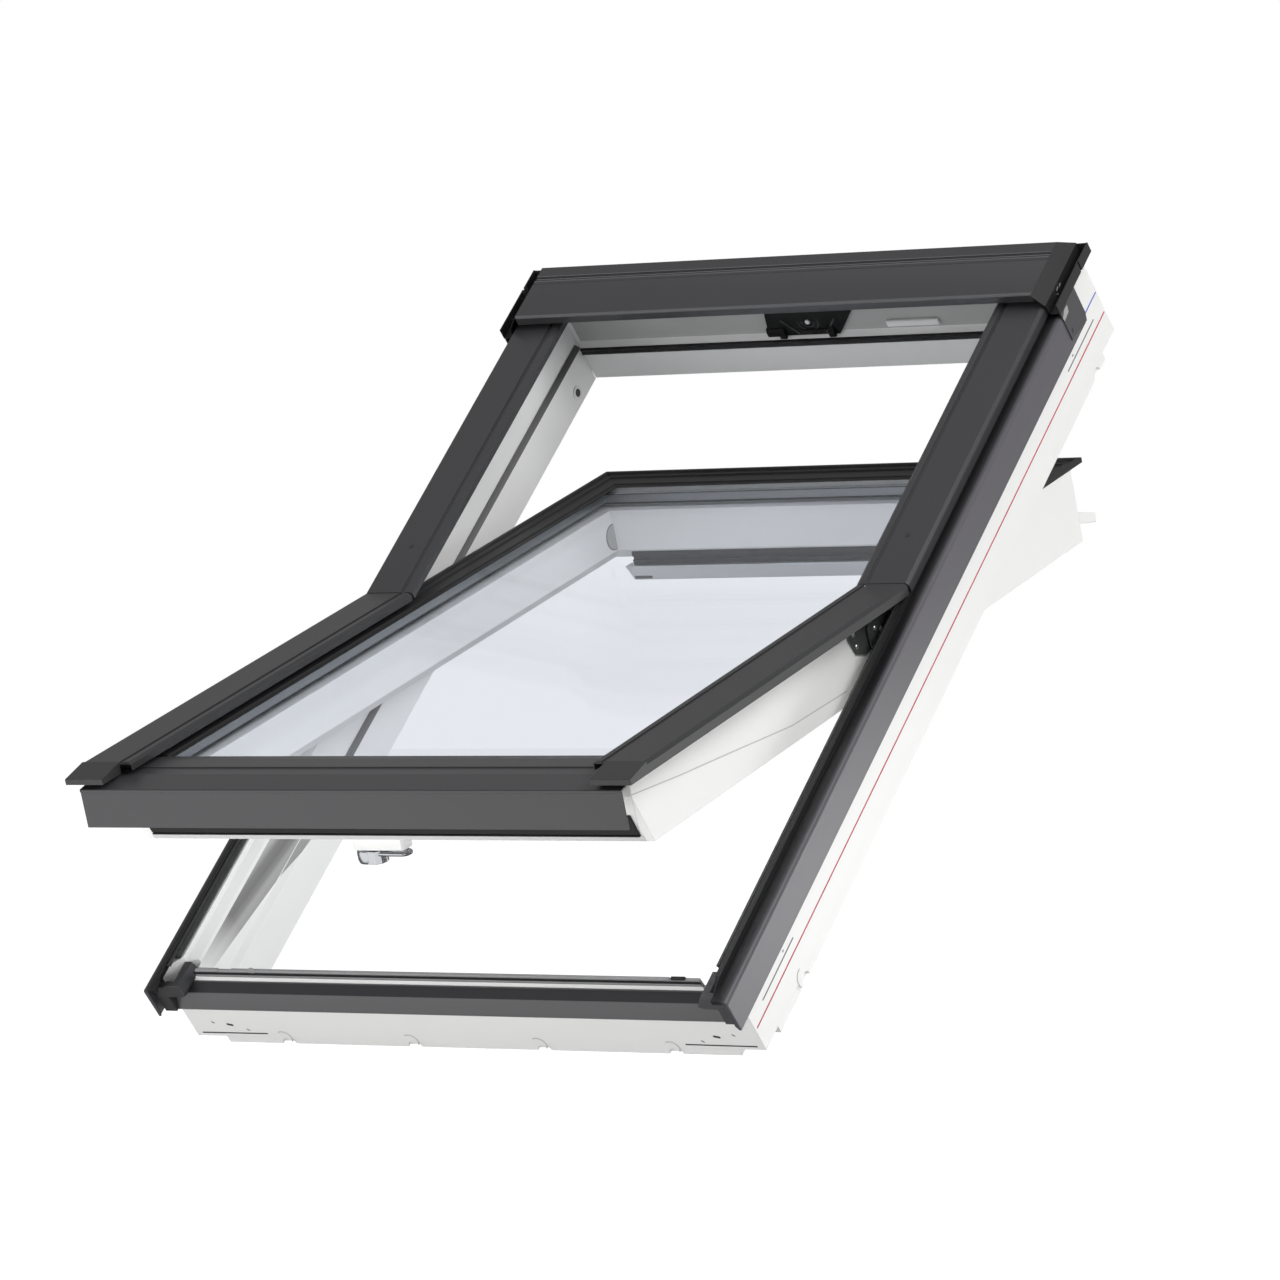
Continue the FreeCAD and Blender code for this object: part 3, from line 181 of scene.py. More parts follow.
class FinishSettings(bpy.types.PropertyGroup):
    """Colours and surface sizes of the finishes."""

    lacquer: colour("White lacquer of frame and sash", (0.87, 0.87, 0.86))
    cladding: colour("Dark grey coat of the covers and the hood", (0.045, 0.045, 0.048))
    # Painted light: the side legs' grey is lighter than the cladding's because of the light that falls on them.
    leg: colour("Cladding grey painted lighter as the light on the side legs", (0.105, 0.101, 0.112))
    clip: colour("Coat of clip plates and end caps", (0.064, 0.063, 0.067))
    # Painted highlight on the hood's rounded bends and on the rims and ridge of its groove.
    bend_highlight: colour("Highlight painted along the hood's bends and groove", (0.10, 0.10, 0.104))
    sash_cover: colour("Coat of the covers at the sash's sides", (0.042, 0.042, 0.044))
    # Painted light: the bottom cladding's grey is lighter than the rest of the cladding because of the light on
    # its front.
    apron: colour("Cladding grey painted lighter as the light on the bottom cladding", (0.080, 0.079, 0.083))
    # Painted shade: a darker grey on the bottom cladding's slope and on the feet of the hood's groove.
    slope: colour("Dark shade painted on the slope of the bottom cladding and in the hood's groove", (0.030, 0.030, 0.033))
    rubber: colour("Black rubber of the seals", (0.012, 0.012, 0.013))
    grey_rubber: colour("Grey rubber of the seal rail", (0.30, 0.30, 0.305))
    plastic: colour("Black of the mouldings", (0.014, 0.014, 0.015))
    side_seal: colour("Dark grey of the side seals", (0.032, 0.034, 0.032))
    strip: colour("Grey of the strips on the shoulders", (0.12, 0.12, 0.12))
    block: colour("Dark grey of the corner mouldings", (0.04, 0.04, 0.042))
    # Also painted shade: a grey band on the inner face of the top member.
    band: colour("Grey of the sash discs' faces and of the shade painted inside the top member", (0.44, 0.44, 0.43))
    # Painted shade: the white lacquer darkened on the sash's front foot under the cover.
    shaded: colour("Lacquer darkened as painted shade on the sash's front foot", (0.60, 0.60, 0.60))
    rim: colour("Black of the glazing rims", (0.019, 0.019, 0.020))
    glass: colour("Tint of the glass", (0.895, 0.912, 0.94))
    spacer: colour("Spacer between the panes", (0.22, 0.235, 0.25))
    sealant: colour("Dark sealant along the spacer", (0.012, 0.018, 0.02))
    hinge: colour("Dark zinc of the hinge plates", (0.10, 0.112, 0.105))
    satin: colour("Satin metal of the control bar", (0.76, 0.77, 0.79))
    chrome: colour("Smoky chrome of the handle", (0.34, 0.345, 0.36))
    striker: colour("Black of the striker", (0.006, 0.006, 0.006))
    bare_metal: colour("Bare metal of screws and rivets", (0.75, 0.75, 0.76))
    coat_grain: length("Grain of the powder coat", 0.0006)
    peel_grain: length("Ripple of the lacquer", 0.004)
    edge_radius: length("Rounding of sheet and lacquered edges", 0.0006)
    bend_radius: length("Outer bend of the side cladding", 0.0065)
    hood_radius: length("Outer bend of the hood's front edge", 0.0028)


class MarkSettings(bpy.types.PropertyGroup):
    """The installer's lines on the outside of the frame."""

    red: colour("Line at batten height", (0.52, 0.04, 0.055))
    blue: colour("Short line near the top", (0.10, 0.14, 0.55))
    grey: colour("Scored grey lines", (0.19, 0.19, 0.18))
    # Also painted shade along the edges of shallow recesses.
    faint: colour("Faint sash line, and shade painted at the recesses' edges", (0.55, 0.55, 0.54))
    pale: colour("Pale window of a clip plate", (0.36, 0.36, 0.355))
    slot: colour("Shade of slots and holes", (0.03, 0.03, 0.03))
    line_width: length("Width of a line", 0.0021)
    line_rise: length("Thickness of a line", 0.00012)


class StageSettings(bpy.types.PropertyGroup):
    """Light, floor and camera."""

    horizon: share("Light of the surroundings at the horizon", 0.52)
    overhead: share("Light of the surroundings overhead", 0.27)
    glossy_white: share("White that reflections see", 0.1)
    floor_glow: share("White of the floor that is seen", 0.85)
    floor_colour: share("Grey of the floor", 0.72)
    floor_mirrored: share("Grey of the floor in reflections", 0.25)
    floor_drop: length("Floor below the window", 0.22)
    key_power: power("Power of the key lamp", 88)
    front_power: power("Power of the lamp on the floor in front", 14)
    strip_power: power("Power of the strip in front", 11)
    ceiling_power: power("Power of the lamp overhead", 38)
    rim_power: power("Power of the side lamp", 8)
    lens: FloatProperty(name="Lens", description="Focal length", subtype="DISTANCE_CAMERA", default=181.118)


def feed(tree, node, inputs):
    """Feeds a node's inputs, given by name or number, with sockets or values."""
    for name, value in inputs.items():
        if isinstance(value, bpy.types.NodeSocket):
            tree.links.new(value, node.inputs[name])
        else:
            node.inputs[name].default_value = value


def add(tree, kind, inputs=None, **settings):
    """A shader node with its settings and its inputs."""
    node = tree.nodes.new(f"ShaderNode{kind}")
    for name, value in settings.items():
        setattr(node, name, value)
    feed(tree, node, inputs or {})
    return node


def math_node(tree, operation, first, second):
    """The output of a maths node fed by sockets or numbers."""
    return add(tree, "Math", {0: first, 1: second}, operation=operation).outputs[0]


def new_group(name, inputs, outputs):
    """An empty node group with named sockets, its input node and its output node."""
    tree = bpy.data.node_groups.new(name, "ShaderNodeTree")
    for socket, default in inputs.items():
        kind = "NodeSocketFloat" if isinstance(default, float) else "NodeSocketColor"
        tree.interface.new_socket(name=socket, in_out="INPUT", socket_type=kind).default_value = default
    for socket, kind in outputs.items():
        tree.interface.new_socket(name=socket, in_out="OUTPUT", socket_type=f"NodeSocket{kind}")
    return tree, tree.nodes.new("NodeGroupInput"), tree.nodes.new("NodeGroupOutput")


def grain_group():
    """A node group: fine height grain and a faint large change of tone, both from object coordinates."""
    tree, start, end = new_group("Coat grain", {"Grain Size": 0.001, "Tone Change": 0.04},
                                 {"Height": "Float", "Tone": "Float"})
    where = add(tree, "TexCoord").outputs["Object"]
    scale = math_node(tree, "DIVIDE", 1.0, start.outputs["Grain Size"])
    fine = add(tree, "TexNoise", {"Vector": where, "Scale": scale, "Detail": 2})
    broad = add(tree, "TexNoise", {"Vector": where, "Scale": 6, "Detail": 3})
    centred = math_node(tree, "SUBTRACT", broad.outputs["Fac"], 0.5)
    change = math_node(tree, "MULTIPLY", centred, start.outputs["Tone Change"])
    feed(tree, end, {"Height": fine.outputs["Fac"], "Tone": math_node(tree, "ADD", change, 1.0)})
    return tree


def edge_highlight_group():
    """A node group: a colour that turns to a lighter one along edges, as a painted highlight."""
    inputs = {"Color": (0.5, 0.5, 0.5, 1), "Highlight Color": (0.8, 0.8, 0.8, 1), "Radius": 0.001, "Amount": 0.5}
    tree, start, end = new_group("Painted edge highlight", inputs, {"Color": "Color", "Mask": "Float"})
    soft = add(tree, "Bevel", {"Radius": start.outputs["Radius"]}, samples=4)
    hard = add(tree, "NewGeometry")
    turn = add(tree, "VectorMath", {0: soft.outputs["Normal"], 1: hard.outputs["Normal"]},
               operation="DOT_PRODUCT")
    sharp = math_node(tree, "MULTIPLY", math_node(tree, "SUBTRACT", 1.0, turn.outputs["Value"]), 6.0)
    mask = math_node(tree, "MULTIPLY", math_node(tree, "MINIMUM", sharp, 1.0), start.outputs["Amount"])
    mix = add(tree, "Mix", {0: mask, 6: start.outputs["Color"], 7: start.outputs["Highlight Color"]},
              data_type="RGBA")
    feed(tree, end, {"Color": mix.outputs[2], "Mask": mask})
    return tree


def shared_group(name, maker):
    """A node group that is built once."""
    return bpy.data.node_groups.get(name) or maker()


def new_material(name):
    """An empty node material with its Principled shader and output."""
    material = bpy.data.materials.new(name)
    material.use_nodes = True
    tree = material.node_tree
    shader = next(node for node in tree.nodes if node.type == "BSDF_PRINCIPLED")
    output = next(node for node in tree.nodes if node.type == "OUTPUT_MATERIAL")
    return material, tree, shader, output


def coated_material(name, base, roughness, grain_size, grain_depth, tone=0.04, edge_highlight=None, highlight_amount=0.0,
                    metallic=0.0, specular=0.5):
    """A coated or moulded surface: fine grain, faint change of tone and, where asked, a painted highlight along
    its edges.
    """
    material, tree, shader, _ = new_material(name)
    grain = add(tree, "Group", {"Grain Size": grain_size, "Tone Change": tone},
                node_tree=shared_group("Coat grain", grain_group))
    tint = add(tree, "Mix", {0: 1, 6: (*base, 1), 7: grain.outputs["Tone"]}, data_type="RGBA",
               blend_type="MULTIPLY")
    shown = tint.outputs[2]
    if edge_highlight is not None:
        edges = add(tree, "Group", {"Color": shown, "Highlight Color": (*edge_highlight, 1), "Radius": EDGE_HIGHLIGHT_RADIUS,
                                    "Amount": highlight_amount}, node_tree=shared_group("Painted edge highlight", edge_highlight_group))
        shown = edges.outputs["Color"]
    bump = add(tree, "Bump", {"Height": grain.outputs["Height"], "Distance": grain_depth, "Strength": 1})
    feed(tree, shader, {"Base Color": shown, "Roughness": roughness, "Metallic": metallic,
                        "Specular IOR Level": specular, "Normal": bump.outputs["Normal"]})
    return material


def finish(kind, label=""):
    """A material of the table of finishes, made when it is first asked for."""
    name = f"{kind} {label}".strip()
    if name not in bpy.data.materials:
        look = bpy.context.scene.roof_window_finish
        shade, roughness, more = FINISHES[kind]
        more = dict(more)
        grain_size = getattr(look, more.pop("grain", "coat_grain")) * more.pop("coarse", 1)
        coated_material(name, getattr(look, shade), roughness, grain_size, more.pop("depth", 20e-6), **more)
    return bpy.data.materials[name]


def share_along(tree, origin, direction, reach):
    """How far the shaded point lies along a direction from an origin, as a share of a reach."""
    where = add(tree, "TexCoord")
    dot = add(tree, "VectorMath", {0: where.outputs["Object"], 1: direction / reach}, operation="DOT_PRODUCT")
    return math_node(tree, "SUBTRACT", dot.outputs["Value"], origin.dot(direction) / reach)


def shade_across(material, origin, across, width, shades, along=None, fade=1.0):
    """Paints shade into a material: multiplies its colour by a ramp of shades over a width, from object
    coordinates.
    """
    tree = material.node_tree
    tint = next(node for node in tree.nodes if node.type == "MIX")
    ramp = add(tree, "ValToRGB", {0: share_along(tree, origin, across, width)})
    ramp.color_ramp.interpolation = "EASE"
    stops = ramp.color_ramp.elements
    while len(stops) < len(shades):
        stops.new(0.5)
    for stop, (position, shade) in zip(stops, shades):
        stop.position = position
        stop.color = (shade, shade, shade, 1)
    mix = add(tree, "Mix", {0: 1, 6: tuple(tint.inputs[6].default_value), 7: ramp.outputs["Color"]},
              data_type="RGBA", blend_type="MULTIPLY")
    if along is not None:
        feed(tree, mix, {0: math_node(tree, "ADD", share_along(tree, origin, along, fade), 0.4)})
    feed(tree, tint, {6: mix.outputs[2]})
    return material


def glass_material(name, tint):
    """Clear glass that lets the lamps' light through to what is behind it."""
    material, tree, shader, output = new_material(name)
    feed(tree, shader, {"Base Color": (*tint, 1), "Roughness": 0.0, "IOR": 1.04, "Transmission Weight": 1})
    path = add(tree, "LightPath")
    clear = add(tree, "BsdfTransparent", {"Color": (0.96, 0.96, 0.96, 1)})
    mix = add(tree, "MixShader", {0: path.outputs["Is Shadow Ray"], 1: shader.outputs[0], 2: clear.outputs[0]})
    feed(tree, output, {"Surface": mix.outputs[0]})
    return material


def soften(piece, radius):
    """Rounds the sharp edges of a piece with modifiers, which leave its mesh as it is."""
    weld = piece.modifiers.new("Joined faces", "WELD")
    weld.merge_threshold = 0.00001
    flat = piece.modifiers.new("Whole faces", "DECIMATE")
    flat.decimate_type = "DISSOLVE"
    flat.angle_limit = math.radians(0.3)
    bevel = piece.modifiers.new("Rounded edges", "BEVEL")
    bevel.width = radius
    bevel.segments = 2
    bevel.limit_method = "ANGLE"
    bevel.angle_limit = math.radians(28)
    bevel.harden_normals = True


def dress(slot, material, radius=0.0):
    """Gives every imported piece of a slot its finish, and rounds its edges."""
    for name in NODES_OF_SLOT[slot]:
        piece = frame["nodes"][name]
        piece.data.materials.clear()
        piece.data.materials.append(material)
        if radius > 0:
            soften(piece, radius)


def recoat(kind, *names):
    """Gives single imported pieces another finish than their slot's."""
    for name in names:
        frame["nodes"][name].data.materials[0] = finish(kind)


def finish_mesh(name, mesh, material, matrix):
    """Places a bmesh made in shut-window coordinates, and makes it ride on the window."""
    data = bpy.data.meshes.new(name)
    mesh.transform(matrix)
    mesh.normal_update()
    mesh.to_mesh(data)
    mesh.free()
    data.materials.append(material)
    piece = bpy.data.objects.new(name, data)
    bpy.context.scene.collection.objects.link(piece)
    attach(piece, "root")
    return piece


def spot(axis, level, first, second):
    """A point in metres: a level along one axis, then the other two coordinates in order, in mm."""
    place = [first, second]
    place.insert("xyz".index(axis), level)
    return Vector(place) * MM


def prism(mesh, low, high):
    """Adds the closed solid between two matching outlines."""
    low = [mesh.verts.new(place) for place in low]
    high = [mesh.verts.new(place) for place in high]
    faces = [mesh.faces.new(low), mesh.faces.new(high[::-1])]
    for index in range(len(low)):
        after = (index + 1) % len(low)
        faces.append(mesh.faces.new((low[index], high[index], high[after], low[after])))
    bmesh.ops.recalc_face_normals(mesh, faces=faces)


def plate(mesh, axis, level, outline, rise):
    """Adds a flat plate: an outline at a level, raised along the axis."""
    prism(mesh, [spot(axis, level, *corner) for corner in outline],
          [spot(axis, level + rise, *corner) for corner in outline])


def plates(name, slot, material, matrix, *items, edge=0.0):
    """Makes one piece of plates, each given as for plate(), with rounded edges where asked."""
    mesh = bmesh.new()
    for item in items:
        plate(mesh, *item)
    piece = finish_mesh(name, mesh, material, matrix)
    if edge > 0:
        soften(piece, edge)
    return piece


def slab(mesh, corners, offset):
    """Adds a thin slab: corners in millimetres, and the same corners moved by an offset."""
    prism(mesh, [Vector(corner) * MM for corner in corners],
          [(Vector(corner) + Vector(offset)) * MM for corner in corners])


def arc_steps(centre, radius, first, last, count):
    """Pairs of points along an arc, from one angle to another in degrees."""
    points = []
    for step in range(count + 1):
        angle = math.radians(first + (last - first) * step / count)
        points.append((centre[0] + radius * math.cos(angle), centre[1] + radius * math.sin(angle)))
    return list(zip(points, points[1:]))


def line_outline(start, end, width):
    """The outline of a narrow line with round ends."""
    along = math.atan2(end[1] - start[1], end[0] - start[0])
    outline = []
    for middle, first in ((start, along + math.pi / 2), (end, along - math.pi / 2)):
        for step in range(6):
            angle = first + math.pi * step / 5
            outline.append((middle[0] + width / 2 * math.cos(angle), middle[1] + width / 2 * math.sin(angle)))
    return outline


def skin(mesh, pairs):
    """The faces between rings of vertices, pair by pair."""
    faces = []
    for low, high in pairs:
        for step in range(len(low)):
            after = (step + 1) % len(low)
            faces.append(mesh.faces.new((low[step], low[after], high[after], high[step])))
    return faces


def turned(mesh, axis, level, centre, profile, side=1, sides=24):
    """Adds a turned piece: rings of (radius, rise) about a centre, closed at both ends."""
    rings = []
    for radius, rise in profile:
        ring = []
        for step in range(sides):
            angle = 2 * math.pi * step / sides
            place = (centre[0] + radius * math.cos(angle), centre[1] + radius * math.sin(angle))
            ring.append(mesh.verts.new(spot(axis, level + rise * side, *place)))
        rings.append(ring)
    faces = [mesh.faces.new(rings[0]), mesh.faces.new(rings[-1])]
    faces += skin(mesh, zip(rings, rings[1:]))
    bmesh.ops.recalc_face_normals(mesh, faces=faces)


def turnings(name, slot, material, matrix, *items, smooth=True):
    """Makes one piece of turned shapes, each given as for turned(), shaded smooth unless asked."""
    mesh = bmesh.new()
    for item in items:
        turned(mesh, *item)
    piece = finish_mesh(name, mesh, material, matrix)
    if smooth:
        smooth_by_angle(piece)


def tube(mesh, route, radius, sides=12):
    """Adds a closed tube of round section along a flat loop of points, in millimetres."""
    rings = []
    for index, place in enumerate(route):
        before, after = Vector(route[index - 1]), Vector(route[(index + 1) % len(route)])
        along = (after - before).normalized()
        across = Vector((along.y, -along.x, 0)).normalized()
        rise = along.cross(across)
        ring = []
        for step in range(sides):
            angle = 2 * math.pi * step / sides
            offset = across * math.cos(angle) + rise * math.sin(angle)
            ring.append(mesh.verts.new((Vector(place) + offset * radius) * MM))
        rings.append(ring)
    bmesh.ops.recalc_face_normals(mesh, faces=skin(mesh, zip(rings, rings[1:] + rings[:1])))


def smooth_by_angle(piece, degrees=24):
    """Shades a piece smooth except along its sharp edges."""
    piece.data.shade_smooth()
    piece.data.set_sharp_from_angle(angle=math.radians(degrees))


def node_mesh(name, matrix):
    """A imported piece's mesh with whole faces, in the coordinates of the shut window."""
    mesh = bmesh.new()
    mesh.from_mesh(frame["nodes"][name].data)
    mesh.transform(matrix.inverted())
    bmesh.ops.remove_doubles(mesh, verts=mesh.verts, dist=0.00001)
    bmesh.ops.dissolve_limit(mesh, angle_limit=math.radians(0.3), verts=mesh.verts, edges=mesh.edges)
    return mesh


def edges_along(mesh, axis, level, height):
    """The edges of a mesh that run along an axis at the given distance and height, in millimetres."""
    found = []
    for edge in mesh.edges:
        places = [vert.co / MM for vert in edge.verts]
        for place in places:
            across = abs(place.x) if axis == "y" else place.y
            if abs(across - level) > 0.05 or abs(place.z - height) > 0.05:
                break
        else:
            found.append(edge)
    return found


class ROOFWINDOW_OT_lacquer(bpy.types.Operator):
    """White lacquer on the members of frame and sash"""

    bl_idname = "roofwindow.lacquer"
    bl_label = "Lacquer the members"

    def execute(self, context):
        look = context.scene.roof_window_finish
        dress("white_lacquer", finish("White lacquer"), look.edge_radius * 1.6)
        return {"FINISHED"}


class ROOFWINDOW_OT_cladding(bpy.types.Operator):
    """Dark grey powder coat on covers, hood and cladding, with painted light, highlights and shade on some of
    them
    """

    bl_idname = "roofwindow.cladding"
    bl_label = "Coat the cladding"

    def execute(self, context):
        look = context.scene.roof_window_finish
        dress("grey_cladding", finish("Grey cladding"), look.edge_radius)
        outer, inner = look.bend_radius, look.bend_radius - SHEET * MM
        for name, side in SIDES:
            # The side legs' material is a lighter copy of the cladding as painted light, and its ramp paints
            # shade on their top face beside the covers.
            leg = finish("Side cladding painted light and shade", name)
            shade_across(leg, spot("x", LEG_SHADE * side, 0, 0), Vector((side, 0, 0)), 0.0125,
                         ((0.0, 0.10), (0.35, 0.2), (0.7, 0.62), (1.0, 1.0)))
            self.bend(f"frame_cladding_{name}", f"side_cladding_{name}", (leg,), look.edge_radius,
                      (("y", CLADDING_EDGE, CLADDING_TOP, outer, 0),
                       ("y", CLADDING_EDGE - SHEET, CLADDING_TOP - SHEET, inner, 0)))
        # The hood's outer bend takes a lighter grey, a painted highlight.
        bend_materials = (finish("Grey cladding"), finish("Painted bend highlight"))
        self.bend("top_hood", "hood_sheet", bend_materials, look.edge_radius * 1.3,
                  (("x", HOOD_FRONT, HOOD_TOP, look.hood_radius, 1),
                   ("x", HOOD_FRONT + SHEET, HOOD_TOP - SHEET * 2, look.hood_radius * 0.5, 0)))
        self.hood_lines()
        recoat("Sash cover coat", "sash_cover_left", "sash_cover_right")
        # The bottom cladding gets a lighter copy of the cladding's grey as painted light.
        recoat("Apron painted light", "frame_cladding_bottom")
        # A thin dark plate on the bottom cladding's slope paints the shade there.
        plates("apron_slope_shade", "grey_cladding", finish("Painted slope shade"), FRAME,
               ("x", -APRON_HALF, [(-7.4, 83.95), (2.9, 90.95), (2.87, 91.05), (-7.45, 84.05)], APRON_HALF * 2))
        for name, side in SIDES:
            recoat("Clip plate coat", f"hood_clip_{name}", f"hood_end_cap_{name}")
            self.cap_wall(name, side)
        return {"FINISHED"}

    def hood_lines(self):
        """Painted highlights on the rims and the ridge of the hood's groove, and painted shade on its feet."""
        for name, kind, level, front, back, rise in (
                ("fill", "Grey cladding", GROOVE_FLOOR, 1141.9, 1147.9, HOOD_TOP - GROOVE_FLOOR),
                ("front_rim", "Painted bend highlight", HOOD_TOP, 1146.2, 1147.8, 0.02),
                ("front_foot", "Painted groove shade", GROOVE_FLOOR, 1148.0, 1150.2, 0.02),
                ("ridge", "Painted bend highlight", GROOVE_FLOOR, 1150.8, 1152.4, 0.3),
                ("back_foot", "Painted groove shade", GROOVE_FLOOR, 1153.0, 1154.9, 0.02),
                ("back_rim", "Painted bend highlight", HOOD_TOP, 1155.3, 1156.6, 0.02)):
            outline = [(-HOOD_HALF, front), (HOOD_HALF, front), (HOOD_HALF, back), (-HOOD_HALF, back)]
            plates(f"hood_groove_{name}", "grey_cladding", finish(kind), FRAME, ("z", level, outline, rise))

    def cap_wall(self, name, side):
        """The wall that closes a hood end cap at its upper end, and the lap behind its notch."""
        wall = [(x * side, z) for x, z in ((371, 119), (399.6, 119), (399.6, 131), (371, 130))]
        plates(f"cap_wall_{name}", "grey_cladding", finish("Grey cladding"), FRAME,
               ("y", HOOD_BACK, wall, -1.2),
               ("x", 398.5 * side, [(1148, 120), (1161, 120), (1161, 130.8), (1148, 130.8)], -0.6 * side))

    def bend(self, node, name, bend_materials, edge, bends):
        """A packed sheet again, with wide bends along some of its edges, each with the index of its material;
        the hood's outer bend takes a painted highlight.
        """
        mesh = node_mesh(node, FRAME)
        for axis, first, height, radius, coat in bends:
            bmesh.ops.bevel(mesh, geom=edges_along(mesh, axis, first, height), offset=radius, segments=6,
                            profile=0.5, affect="EDGES", clamp_overlap=False, material=coat)
        piece = finish_mesh(name, mesh, bend_materials[0], FRAME)
        for coat in bend_materials[1:]:
            piece.data.materials.append(coat)
        smooth_by_angle(piece)
        soften(piece, edge)
        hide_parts(node)


class ROOFWINDOW_OT_seals(bpy.types.Operator):
    """Rubber on the seals, black plastic on the mouldings, and the strips on the side shoulders"""

    bl_idname = "roofwindow.seals"
    bl_label = "Fit seals and mouldings"

    def execute(self, context):
        look = context.scene.roof_window_finish
        for slot, kind in (("black_rubber", "Black rubber"), ("grey_rubber", "Grey rubber"),
                           ("black_plastic", "Black plastic")):
            dress(slot, finish(kind), look.edge_radius)
        recoat("Side seal", "frame_side_seals")
        recoat("Black rim", "glazing_rim_left", "glazing_rim_right", "glazing_rim_top")
        recoat("Corner moulding", "corner_block_left")
        recoat("Clip plate coat", "corner_block_right")
        self.shoulder_strips()
        # A grey band on the white inner face of the top member paints the shade there.
        plates("top_shade_band", "white_lacquer", finish("Grey lacquer and painted shade"), FRAME,
               ("y", TOP_FACE, [(-349.5, 45.6), (349.5, 45.6), (349.5, 90.6), (-349.5, 90.6)], -0.15))
        self.lower_shade_bands()
        self.sash_lip()
        self.rail_details()
        return {"FINISHED"}

    def shoulder_strips(self):
        """A thin rubber strip on the slanted shoulder of each side member."""
        thickness = 0.7
        outer, upper = INNER_EDGE + SHOULDER, SHOULDER_HEIGHT
        section = [(INNER_EDGE, upper - SHOULDER), (outer, upper), (outer - thickness, upper + thickness),
                   (INNER_EDGE + SHOULDER * 0.5 - thickness * 2, upper - SHOULDER * 0.5 + thickness),
                   (INNER_EDGE - thickness, upper - SHOULDER + thickness)]
        for name, side in SIDES:
            plates(f"shoulder_strip_{name}", "black_plastic", finish("Shoulder strip"), FRAME,
                   ("y", STRIP_START, [(x * side, z) for x, z in section], SHOULDER_END - STRIP_START))

    def lower_shade_bands(self):
        """Painted shade: a soft grey band that narrows down the lower inner side of each side member."""
        turn = FRAME.to_3x3()
        material = finish("Painted shade band")
        shades = ((0.0, 0.38), (0.16, 0.42), (0.3, 0.23), (0.4, 0.17), (0.52, 0.2), (0.75, 0.52), (1.0, 0.97))
        shade_across(material, FRAME @ spot("x", 0, 60, 66), turn @ Vector((0, 0.136, 0.991)), 0.062, shades,
                     turn @ Vector((0, 1, 0)), 0.09)
        wall = [(22, 71.2), (204, 46.4), (310, 46.4), (310, 90.4), (22, 90.4)]
        shoulder = ((356, 213, 45), (350, 257, 39), (350, 310, 39), (356, 310, 45))
        lip = [(257, 39), (279, 36), (310, 31.8), (310, 39)]
        for name, side in SIDES:
            mesh = bmesh.new()
            plate(mesh, "x", (INNER_EDGE + SHOULDER) * side, wall, -0.15 * side)
            slab(mesh, [(x * side, y, z) for x, y, z in shoulder], (-0.1 * side, 0, 0.1))
            plate(mesh, "x", INNER_EDGE * side, lip, -0.15 * side)
            finish_mesh(f"lower_shade_band_{name}", mesh, material, FRAME)

    def sash_lip(self):
        """The lower lip of the seal on the slanted front of the sash, and painted shade on the foot under it.
        """
        seal = node_mesh("sash_seal_bottom", SASH)
        ends = [vert.co.x / MM for vert in seal.verts if vert.co.z / MM < 32]
        seal.free()
        start, span = min(ends), max(ends) - min(ends)
        plates("sash_seal_lip", "black_rubber", finish("Black rubber"), SASH,
               ("x", start, [(42.5, 31), (43.2, 29.5), (40.5, 28.2), (39.8, 29.8)], span))
        plates("sash_front_foot_shade", "white_lacquer", finish("Lacquer with painted shade"), SASH,
               ("x", start - 4, [(43.4, 29.0), (46.9, 21.3), (46.8, 21.25), (43.3, 28.95)], span + 8))

    def rail_details(self):
        """The raised runs, the knob and the dark end of the seal rail on the bottom member."""
        front, back, face, half = 7.0, 11.5, 6.7, 347
        for name, start, end, rise, kind in (("left_run", -340, -311, 2.4, "Grey rubber"),
                                             ("long_run", -292, 306, 2.0, "Grey rubber"),
                                             ("right_run", 309, 327, 3.0, "Black rubber")):
            section = [(front, RAIL_TOP), (back, RAIL_TOP), (back - 0.8, RAIL_TOP + rise),
                       (front + 0.6, RAIL_TOP + rise * 0.8)]
            plates(f"seal_rail_{name}", "grey_rubber", finish(kind), FRAME, ("x", start, section, end - start),
                   edge=0.0003)
        for name, low, high, slot, kind in (("foot", 91.1, 96.2, "white_lacquer", "White lacquer"),
                                            ("groove", 100.2, 103.2, "black_rubber", "Black rubber")):
            plates(f"seal_rail_{name}", slot, finish(kind), FRAME,
                   ("y", face, [(-half, low), (half, low), (half, high), (-half, high)], -0.5))
        knob = [(4.5, 0), (4.5, 1.6), (3.6, 2.4), (2.2, 2.4), (2.0, 1.4)]
        turnings("seal_rail_knob", "grey_rubber", finish("Grey rubber"), FRAME,
                 ("y", front, (-262, RAIL_TOP + 1.5), knob))


class ROOFWINDOW_OT_glazing(bpy.types.Operator):
    """Clear panes, the metal spacer between them and its lines of sealant"""

    bl_idname = "roofwindow.glazing"
    bl_label = "Glaze the sash"

    def execute(self, context):
        look = context.scene.roof_window_finish
        dress("clear_glass", glass_material("Clear glass", look.glass))
        dress("spacer_metal", finish("Spacer metal"), look.edge_radius * 0.5)
        half, front, back = 311.4, 75.1, 1057.9
        for name, low, high in (("lower", 93.1, 95.6), ("upper", 105.6, 106.9)):
            sides = [("x", half * side, [(front, low), (back, low), (back, high), (front, high)], -0.5 * side)
                     for side in (-1, 1)]
            ends = [("y", level, [(-half, low), (half, low), (half, high), (-half, high)], rise)
                    for level, rise in ((back, -0.5), (front, 0.5))]
            plates(f"sealant_{name}", "spacer_metal", finish("Sealant"), SASH, *sides, *ends)
        return {"FINISHED"}


